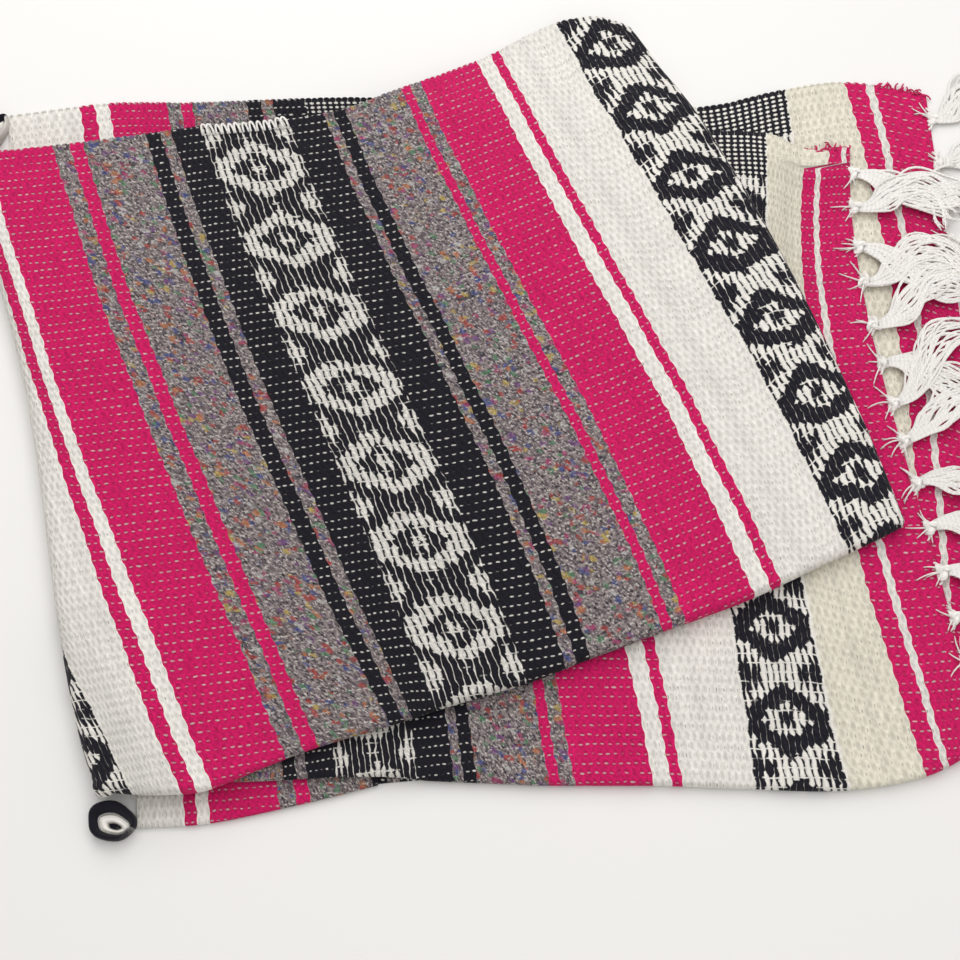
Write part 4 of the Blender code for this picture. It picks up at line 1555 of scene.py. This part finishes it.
@dataclass
class Strands:
    """Collects round strands into one mesh."""

    sides: int = 6
    points: list = field(default_factory=list)
    faces: list = field(default_factory=list)
    marks: list = field(default_factory=list)
    count: int = 0

    def add(self, path: Array, radius: Array, strand: float, closed: bool = False) -> None:
        """Adds a strand.

        Args:
            path: The points of its middle line.
            radius: Its radius at each of them.
            strand: A number that tells strands apart in the finish.
            closed: Whether the path comes back to its start.
        """
        steps = len(path)
        if closed:
            tangent = unit(np.roll(path, -1, axis=0) - np.roll(path, 1, axis=0))
        else:
            tangent = unit(np.gradient(path, axis=0))
        normal = np.array([0.0, 0.0, 1.0])
        frames = []
        for one in tangent:
            normal = normal - one * (normal @ one)
            normal = normal / max(np.linalg.norm(normal), 1e-9)
            frames.append((normal, np.cross(one, normal)))
        angles = np.linspace(0.0, 2.0 * math.pi, self.sides, endpoint=False)
        run = np.concatenate([[0.0], np.cumsum(np.linalg.norm(np.diff(path, axis=0), axis=1))])
        up, side = (np.array([f[k] for f in frames]) for k in (0, 1))
        rim = (up[:, None] * np.cos(angles)[None, :, None] + side[:, None] * np.sin(angles)[None, :, None])
        self.points.append((path[:, None] + rim * np.asarray(radius).reshape(-1, 1, 1)).reshape(-1, 3))
        ones = np.ones((steps, self.sides))
        self.marks.append(np.stack([run[:, None] * ones, angles[None, :] * ones, strand * ones],
                                   axis=-1).reshape(-1, 3))
        numbers = np.arange(steps * self.sides).reshape(steps, self.sides) + self.count
        next_side = np.roll(numbers, -1, axis=1)
        here, there = (numbers, np.roll(numbers, -1, axis=0)) if closed else (numbers[:-1], numbers[1:])
        here_side, there_side = (next_side, np.roll(next_side, -1, axis=0)) if closed else (
            next_side[:-1], next_side[1:])
        quads = np.stack([here, here_side, there_side, there], axis=-1).reshape(-1, 4)
        self.faces += quads.tolist()
        if not closed:
            self.faces.append(numbers[0][::-1].tolist())
            self.faces.append(numbers[-1].tolist())
        self.count += steps * self.sides

    def lay(self, flat: Array, level: Array, radius: Union[float, Array], draw: random.Random,
            closed: bool = False) -> None:
        """Adds a strand of its own colour, from its plan and its heights.

        Args:
            flat: Its points, seen from above.
            level: Their heights.
            radius: Its radius, in all or at each of them.
            draw: Random numbers.
            closed: Whether the path comes back to its start.
        """
        path = np.concatenate([flat, level[:, None]], axis=1)
        self.add(path, np.broadcast_to(radius, len(path)), draw.random(), closed)

    def piece(self, name: str, material: Material, slot: Slot) -> Piece:
        """Makes the piece."""
        return make_piece(name, np.concatenate(self.points), self.faces, np.concatenate(self.marks),
                          material, "yarn", slot)


@dataclass(frozen=True)
class Hold:
    """Where a tassel hangs."""

    middle: Array       # its knot's middle
    outward: Array      # the way out of the cloth
    along: Array        # the way along the cloth's edge

    def heading(self, angle: Array) -> Array:
        """The ways at these angles from straight out."""
        return self.outward * np.cos(angle)[:, None] + self.along * np.sin(angle)[:, None]


@dataclass
class Fringe:
    """The knotted tassels along one end of the cloth."""

    name: str
    lie: Lie
    length: float
    fan: float                  # how far the strands spread, in radians
    wave: float                 # which tassels lean which way
    heights: tuple              # of a strand, at four places from knot to end
    knot_base: float
    knot_top: float
    cloth_top: float
    seed: int
    tassels: int = 14
    strands: int = 24
    start: float = 0.012
    end: float = 0.972
    sway: float = 0.24
    sway_waves: float = 1.3
    bend: float = 0.30
    bend_waves: float = 1.9
    bend_start: float = 0.3
    curl: float = 1.05          # how far a tassel snakes, in radians
    spread: float = 0.0260      # how wide its strands lie
    radius: float = 0.00130
    knot_radius: float = 0.00175    # of a knot's yarns
    knot_size: tuple = (0.00165, 0.00185)   # a knot's size outwards and along the edge, against its curve
    knot_out: float = 0.0040    # how far out of the cloth it lies
    gathered: int = 6           # how many warps run into it
    warp_step: float = 0.0046
    own_wave: float = 0.0024    # how far each strand strays by itself
    far_line: float = 0.520     # the strands' ends crowd up past this line along X
    crowding: float = 0.65      # by this share of how far they pass it
    floor: float = 1.25         # how high a strand's middle keeps off the table, in radii
    draw: random.Random = field(init=False)
    made: Strands = field(default_factory=lambda: Strands(sides=5))

    def __post_init__(self) -> None:
        """Starts the random numbers."""
        self.draw = random.Random(self.seed)

    def edge(self, across: float) -> tuple:
        """The cloth's cut edge at a share of the way across.

        Args:
            across: The share.

        Returns:
            The point, the way out and the way along.
        """
        step = 0.002
        before, point, after = (
            self.lie.spots(self.lie.last, across + shift) for shift in (-step, 0.0, step))
        along = unit(after - before)
        return point, np.array([-along[1], along[0]]), along

    def knot(self, hold: Hold) -> None:
        """Adds a knot: three yarns side by side, wound over and under themselves.

        Args:
            hold: Where it is.
        """
        turn = np.linspace(0.0, 2.0 * math.pi, 40, endpoint=False)
        spin, size = self.draw.uniform(0.0, 2.0), self.draw.uniform(0.92, 1.12)
        tall = (self.knot_top - self.knot_base) / 2.0 - self.knot_radius
        a = np.sin(turn + spin) + 2.0 * np.sin(2.0 * turn + spin)
        b = np.cos(turn + spin) - 2.0 * np.cos(2.0 * turn + spin)
        for yarn in (-1, 0, 1):
            wide = size * (1.0 + 0.30 * yarn)
            out, aside = (reach * wide * curve[:, None] for reach, curve in zip(self.knot_size, (a, b)))
            rise = -np.sin(3.0 * turn + 0.25 * yarn) * tall * (1.0 - 0.22 * yarn * yarn)
            flat = hold.middle[:2] + (hold.outward * out + hold.along * aside)
            self.made.lay(flat, hold.middle[2] + rise, self.knot_radius, self.draw, closed=True)

    def tassel(self, number: int) -> None:
        """Adds one tassel: its gathered warps, its knot, its loose strands and its short ends.

        Args:
            number: Which tassel, from the selvedge.
        """
        draw = self.draw
        across = self.start + (number + 0.5) / self.tassels * (self.end - self.start)
        across += draw.uniform(-0.006, 0.006)
        point, outward, along = self.edge(across)
        middle = np.array([*(point + outward * self.knot_out), (self.knot_base + self.knot_top) / 2.0])
        hold = Hold(middle, outward, along)
        self.knot(hold)
        t = np.linspace(0.0, 1.0, 23)
        phase = number / self.tassels
        lean = self.sway * math.sin(2.0 * math.pi * (self.sway_waves * phase + self.wave))
        bend = self.bend * math.sin(2.0 * math.pi * (self.bend_waves * phase + self.bend_start + self.wave))
        snake = self.curl * draw.uniform(0.35, 1.0) * draw.choice((-1.0, 1.0))
        angle = lean + bend * t ** 2 + snake * np.sin(2.0 * math.pi * draw.uniform(0.55, 0.95) * t)
        twist, above = draw.uniform(0.05, 0.42), draw.uniform(0.0, 0.0018)
        for strand in range(self.strands):
            share = (strand + 0.5) / self.strands - 0.5
            self.loose_strand(hold, t, angle, share, math.pi * twist, above)
        for warp in range(self.gathered):
            offset = (warp - (self.gathered - 1) / 2.0) * self.warp_step + draw.uniform(-0.001, 0.001)
            self.gathered_warp(across + offset / CLOTH_WIDTH, middle)
        for _ in range(draw.randint(3, 5)):
            self.short_end(hold)

    def loose_strand(self, hold: Hold, t: Array, angle: Array, share: float, twist: float,
                     above: float) -> None:
        """Adds a loose strand.

        Args:
            hold: Where its tassel hangs.
            t: Steps along the strand, from 0 to 1.
            angle: The tassel's heading at each step.
            share: The strand's place in the tassel, from -0.5 to 0.5.
            twist: How far the strands turn about each other.
            above: How high the tassel arches.
        """
        draw = self.draw
        length = self.length * draw.uniform(0.86, 1.0)
        own = angle + self.fan * 1.2 * share + draw.gauss(0.0, 0.20) * t ** 1.5
        wide = self.spread * (0.26 + 0.46 * smooth(t, 0.0, 0.30) + 0.40 * smooth(t, 0.4, 1.0))
        aside = wide * share * np.cos(twist * t)
        sway = np.sin(2.0 * math.pi * (t * draw.uniform(1.2, 3.2) + draw.random()))
        aside = aside + self.own_wave * smooth(t, 0.0, 0.3) * sway
        run = np.cumsum(hold.heading(own), axis=0) * length / len(t)
        flat = hold.middle[:2] + run + hold.heading(own + math.pi / 2.0) * aside[:, None]
        flat[:, 0] -= np.maximum(flat[:, 0] - self.far_line, 0.0) * self.crowding
        level = four_way(self.heights, t) + above * np.sin(math.pi * np.minimum(t * 1.2, 1.0))
        level = level + self.own_wave * share * np.sin(twist * t) + draw.uniform(-0.0006, 0.0006)
        level = level + (hold.middle[2] - self.heights[0]) * (1.0 - smooth(t, 0.0, 0.12))
        thick = self.radius * draw.uniform(0.8, 1.2) * (1.0 - 0.5 * smooth(t, 0.9, 1.0))
        self.made.lay(flat, np.maximum(level, self.radius * self.floor), thick, draw)

    def gathered_warp(self, across: float, middle: Array) -> None:
        """Adds a warp that runs from the cloth's edge into a knot.

        Args:
            across: Where it leaves the cloth, as a share of the way across.
            middle: The knot's middle.
        """
        point, outward, _ = self.edge(across)
        level = self.knot_base + 0.0022
        start = np.array([*(point - outward * 0.0018), level])
        over = np.array([*(point + outward * 0.0016), level + 0.0006])
        t = np.linspace(0.0, 1.0, 9)[:, None]
        path = (1 - t) ** 2 * start + 2 * t * (1 - t) * over + t ** 2 * middle
        self.made.lay(path[:, :2], path[:, 2], self.radius, self.draw)

    def short_end(self, hold: Hold) -> None:
        """Adds a short loose end that strays from a knot back over the cloth.

        Args:
            hold: Where the knot is.
        """
        draw = self.draw
        t = np.linspace(0.0, 1.0, 9)
        angle = draw.uniform(-1.35, 1.35) + draw.uniform(-0.9, 0.9) * t
        run = np.cumsum(hold.heading(math.pi - angle), axis=0)
        flat = hold.middle[:2] + run * draw.uniform(0.013, 0.026) / len(t)
        low = self.cloth_top + 0.0009 - hold.middle[2]
        level = hold.middle[2] + low * smooth(t, 0.0, 0.9) + 0.0022 * np.sin(math.pi * t)
        self.made.lay(flat, level, self.radius * (0.75 - 0.35 * t), draw)

    def build(self, material: Material) -> Piece:
        """Builds the fringe.

        Args:
            material: The cotton finish.

        Returns:
            The piece.
        """
        for number in range(self.tassels):
            self.tassel(number)
        piece = self.made.piece(f"{self.name}_tassels", material, Slot.WHITE)
        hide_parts(self.name)
        return piece


@dataclass
class SelvedgeLoops:
    """The white weft's long turns at the selvedge of the white figures."""

    name: str
    stretch: Stretch
    middle: float = 0.392
    half: float = 0.0400
    radius: float = 0.0011
    inner: float = 0.0105       # how far into the cloth a loop's ends lie
    seed: int = 12

    def build(self, material: Material) -> Piece:
        """Builds the loops.

        Args:
            material: The cotton finish.

        Returns:
            The piece.
        """
        draw = random.Random(self.seed)
        strands = Strands(sides=6)
        for cut in np.arange(self.middle - self.half, self.middle + self.half, FIGURE_COLUMN):
            at_end = abs(cut - self.middle) > self.half - 1.2 * FIGURE_COLUMN
            reach = draw.uniform(0.010, 0.013) if at_end else draw.uniform(0.003, 0.007)
            wide = 0.0032 if at_end else 0.0024
            turn = np.linspace(-1.0, 1.0, 13)
            around = np.cos(turn * math.pi / 2.0)
            cuts = cut + wide * np.sin(turn * math.pi / 2.0) + draw.uniform(-0.001, 0.001)
            spots = self.stretch.lie.spots(cuts, np.zeros_like(cuts))
            _, down = self.stretch.lie.ways(cuts, 0.002)
            flat = spots + down * (self.inner - (self.inner + reach * 0.25) * around)[:, None]
            level = self.stretch.top(flat, cuts, np.zeros_like(cuts)) + self.stretch.soft(flat)
            level = level + self.radius * 0.5 + (reach * 0.16) * np.sin(math.pi * around)
            strands.lay(flat, level, self.radius, draw)
        return strands.piece(self.name, material, Slot.WHITE)


@dataclass
class FrayedCorner:
    """Short loose weft ends at the corner of a fringed end."""

    name: str
    stretch: Stretch
    first: float
    last: float
    seed: int
    loops: int = 22
    radius: float = 0.0011

    def build(self, material: Material) -> Piece:
        """Builds the loose ends.

        Args:
            material: The pink yarn.

        Returns:
            The piece.
        """
        draw = random.Random(self.seed)
        strands = Strands(sides=6)
        t = np.linspace(0.0, 1.0, 11)
        for _ in range(self.loops):
            cut = draw.uniform(self.first, self.last)
            spot = self.stretch.lie.spots(cut, 0.0)
            along, down = self.stretch.lie.ways(np.array([cut]), np.array([0.002]))
            start = spot + down[0] * draw.uniform(0.000, 0.004)
            angle = draw.uniform(-0.6, 1.3) + draw.uniform(-1.8, 1.8) * t
            heading = -down[0] * np.cos(angle)[:, None] + along[0] * np.sin(angle)[:, None]
            flat = start + np.cumsum(heading, axis=0) * draw.uniform(0.005, 0.011) / len(t)
            top = float(self.stretch.top(spot[None], np.array([cut]), np.array([0.0]))[0])
            level = top - 0.0006 + draw.uniform(0.0006, 0.0026) * np.sin(math.pi * t)
            strands.lay(flat, level, self.radius * (1.0 - 0.4 * t), draw)
        return strands.piece(self.name, material, Slot.PINK)


@dataclass
class Selvedge:
    """The weft's turns along the cloth's woven edge, as small beads in the stripes' colours."""

    name: str
    stretch: Stretch
    first: float
    last: float
    pitch: float = 2.0 * PICK
    size: tuple = (0.0029, 0.0017, 0.0017)
    out: float = 0.0004         # how far out of the cloth's edge a bead lies
    rings: int = 5
    around: int = 8

    def build(self, material: Material) -> Piece:
        """Builds the beads.

        Args:
            material: The woven finish.

        Returns:
            The piece.
        """
        cuts = np.arange(self.first, self.last, self.pitch)
        flat = self.stretch.lie.spots(cuts, 0.0)
        along, down = self.stretch.lie.ways(cuts, 0.002)
        height = self.stretch.top(flat, cuts, np.zeros_like(cuts)) + self.stretch.soft(flat)
        height = np.maximum(height - self.stretch.thickness / 2.0, 1.25 * self.size[2])
        draw = random.Random(len(self.name))
        points, faces, marks, start = [], [], [], 0
        for number, cut in enumerate(cuts):
            scale = draw.uniform(0.85, 1.15)
            for ring in range(self.rings):
                angle = math.pi * (ring + 0.5) / self.rings
                for step in range(self.around):
                    turn = 2.0 * math.pi * step / self.around
                    a = -math.cos(angle) * self.size[0] * scale
                    b = math.sin(angle) * math.cos(turn) * self.size[1] * scale
                    c = math.sin(angle) * math.sin(turn) * self.size[2] * scale
                    spot = flat[number] + along[number] * a + down[number] * (b - self.out)
                    points.append((spot[0], spot[1], height[number] + c))
                    marks.append((cut + a, 0.0005 - b, self.stretch.ply))
            faces += tube_faces(self.rings, self.around, start)
            start += self.rings * self.around
        return make_piece(self.name, np.array(points), faces, np.array(marks), material, "cloth",
                          self.stretch.slot)


@dataclass
class Studio:
    """The table, the lights and the camera."""

    camera_at: tuple = (-0.0204, -0.6308, 1.507)
    tilt: float = math.radians(20)
    lens: float = 64.9
    sensor: float = 36.0
    table_reach: float = 30.0
    room_colour: tuple = (1.0, 0.985, 0.965, 1.0)
    room_light: float = 0.55
    lights: tuple = (
        ("Far window", (-0.35, 1.75, 1.75), 1.9, 33.0),
        ("Overhead", (0.3, 0.1, 2.6), 2.4, 22.0),
        ("Near fill", (0.4, -2.2, 1.9), 2.2, 8.0),
    )

    def lamp(self, name: str, place: tuple, size: float, power: float) -> None:
        """Adds a soft square light that looks at the blanket.

        Args:
            name: The light's name.
            place: Where it stands.
            size: Its side.
            power: Its power, in watts.
        """
        data = bpy.data.lights.new(name, "AREA")
        data.energy = power
        data.size = size
        lamp = bpy.data.objects.new(name, data)
        lamp.location = place
        lamp.rotation_euler = lamp.location.to_track_quat("Z", "Y").to_euler()
        bpy.context.scene.collection.objects.link(lamp)

    def build(self, material: Material) -> None:
        """Builds the table, the lights, the pale surroundings and the camera.

        Args:
            material: The table's finish.
        """
        mesh = bpy.data.meshes.new("Table")
        corners = [(x * self.table_reach, y * self.table_reach, 0.0)
                   for x, y in ((-1, -1), (1, -1), (1, 1), (-1, 1))]
        mesh.from_pydata(corners, [], [(0, 1, 2, 3)])
        mesh.materials.append(material)
        table = bpy.data.objects.new("Table", mesh)
        bpy.context.scene.collection.objects.link(table)
        for light in self.lights:
            self.lamp(*light)
        world = bpy.data.worlds.new("Pale room")
        world.use_nodes = True
        background = world.node_tree.nodes["Background"]
        background.inputs["Color"].default_value = self.room_colour
        background.inputs["Strength"].default_value = self.room_light
        bpy.context.scene.world = world
        bpy.context.scene.view_settings.view_transform = "Standard"
        data = bpy.data.cameras.new("Camera")
        data.lens = self.lens
        data.sensor_width = self.sensor
        camera = bpy.data.objects.new("Camera", data)
        camera.location = self.camera_at
        camera.rotation_euler = (self.tilt, 0.0, 0.0)
        bpy.context.scene.collection.objects.link(camera)
        bpy.context.scene.camera = camera


@dataclass
class Blanket:
    """The whole folded blanket."""

    leaf: TopLeaf = field(default_factory=lambda: TopLeaf(
        "top_leaf_cloth", LEAF, ("top_leaf",), Slot.GREY, ply=0.0, flat=(0.68, 0.84),
        rests_on=("middle_ply_cloth",), columns=180, rows=165))
    middle: MiddlePly = field(default_factory=lambda: MiddlePly(
        "middle_ply_cloth", MIDDLE, ("middle_ply",), Slot.PINK, ply=1.0, flat=(0.67, 0.81),
        rests_on=("under_ply_cloth",), thickness=PLY * 0.9, columns=200, rows=165))
    under: UnderPly = field(default_factory=lambda: UnderPly(
        "under_ply_cloth", UNDER, ("under_ply",), Slot.WHITE, ply=2.0, flat=(0.66, 0.89),
        columns=200, rows=150, softness=0.35))
    tuck: TuckedEdge = field(default_factory=lambda: TuckedEdge(
        "tucked_edge_cloth", TUCK, ("tucked_edge",), Slot.PINK, ply=3.0, flat=(0.10, 0.234),
        thickness=PLY * 0.8, columns=70, rows=24, softness=0.4))
    spine_foot: SpineEnd = field(default_factory=lambda: SpineEnd(
        "spine_foot", x=-0.3230, y=-0.3950, turn=math.radians(-14), length=0.0420, width=0.0340,
        height=0.0160))
    spine_head: SpineEnd = field(default_factory=lambda: SpineEnd(
        "spine_head", x=-0.4936, y=0.2775, turn=math.radians(59), length=0.0600, width=0.0220,
        height=0.0150))
    middle_fringe: Fringe = field(default_factory=lambda: Fringe(
        "middle_fringe", MIDDLE, length=0.126, fan=0.18, wave=0.05,
        heights=(0.0084, 0.0105, 0.0098, 0.0086), knot_base=0.0036, knot_top=0.0125,
        cloth_top=PILE.middle_top, seed=5))
    under_fringe: Fringe = field(default_factory=lambda: Fringe(
        "under_fringe", UNDER, length=0.094, fan=0.24, wave=0.40,
        heights=(0.0034, 0.0031, 0.0027, 0.0024), knot_base=0.0008, knot_top=0.0066,
        cloth_top=PILE.under_top, seed=8))

    @staticmethod
    def hidden_plies(corner: bool) -> list:
        """The plies inside the top leaf, or those of its far corner, from the lowest.

        Args:
            corner: Whether those of the corner are meant.

        Returns:
            The plies.
        """
        made = []
        for number in range(3):
            name = f"hidden_{'corner' if corner else 'ply'}_{number + 1}"
            node = "inner_corner" if corner else "inner_layers"
            steps = {"columns": 44, "rows": 20} if corner else {"columns": 120, "rows": 110}
            made.append(HiddenPly(
                name, LEAF, (node,) if number == 0 else (), Slot.WHITE if corner else Slot.GREY,
                ply=5.0 + number, flat=(0.052, 0.155) if corner else (0.60, 0.74),
                rests_on=() if corner else ("middle_ply_cloth",), thickness=0.0031, softness=0.5,
                number=number, corner=corner, **steps))
        return made

    def build(self) -> None:
        woven, cotton = WovenCloth().make(), CottonYarn().make()
        pink = CottonYarn("Pink yarn", DYE.pink, (0.520, 0.006, 0.095)).make()
        leaf, middle = self.leaf.build(woven), self.middle.build(woven)
        under, tuck = self.under.build(woven), self.tuck.build(woven)
        spine = [self.spine_foot.build(woven), self.spine_head.build(woven)]
        leaf_beads = Selvedge("top_leaf_selvedge", self.leaf, first=0.112, last=0.812).build(woven)
        middle_beads = Selvedge("middle_ply_selvedge", self.middle, first=0.135, last=0.940).build(woven)
        under_beads = Selvedge("under_ply_selvedge", self.under, first=0.053, last=0.940).build(woven)
        loops = SelvedgeLoops("top_leaf_loops", self.leaf).build(cotton)
        frayed = [
            FrayedCorner("under_ply_frayed", self.under, first=0.905, last=0.941, seed=3).build(pink),
            FrayedCorner("middle_ply_frayed", self.middle, first=0.884, last=0.941, seed=4,
                         loops=12).build(pink)]
        middle_tassels = self.middle_fringe.build(cotton)
        under_tassels = self.under_fringe.build(cotton)
        self.leaf.declare(leaf, [*spine, leaf_beads, loops])
        self.middle.declare(middle, [middle_tassels, middle_beads, frayed[1]])
        self.under.declare(under, [under_tassels, under_beads, frayed[0]])
        self.tuck.declare(tuck)
        for corner in (False, True):
            for ply in self.hidden_plies(corner):
                ply.declare(ply.build(woven))


def main() -> None:
    """Builds the studio and the blanket."""
    Studio().build(TableTop().make())
    Blanket().build()


if __name__ == "__main__":
    logging.basicConfig(level=logging.INFO, format="%(name)s %(message)s")
    main()
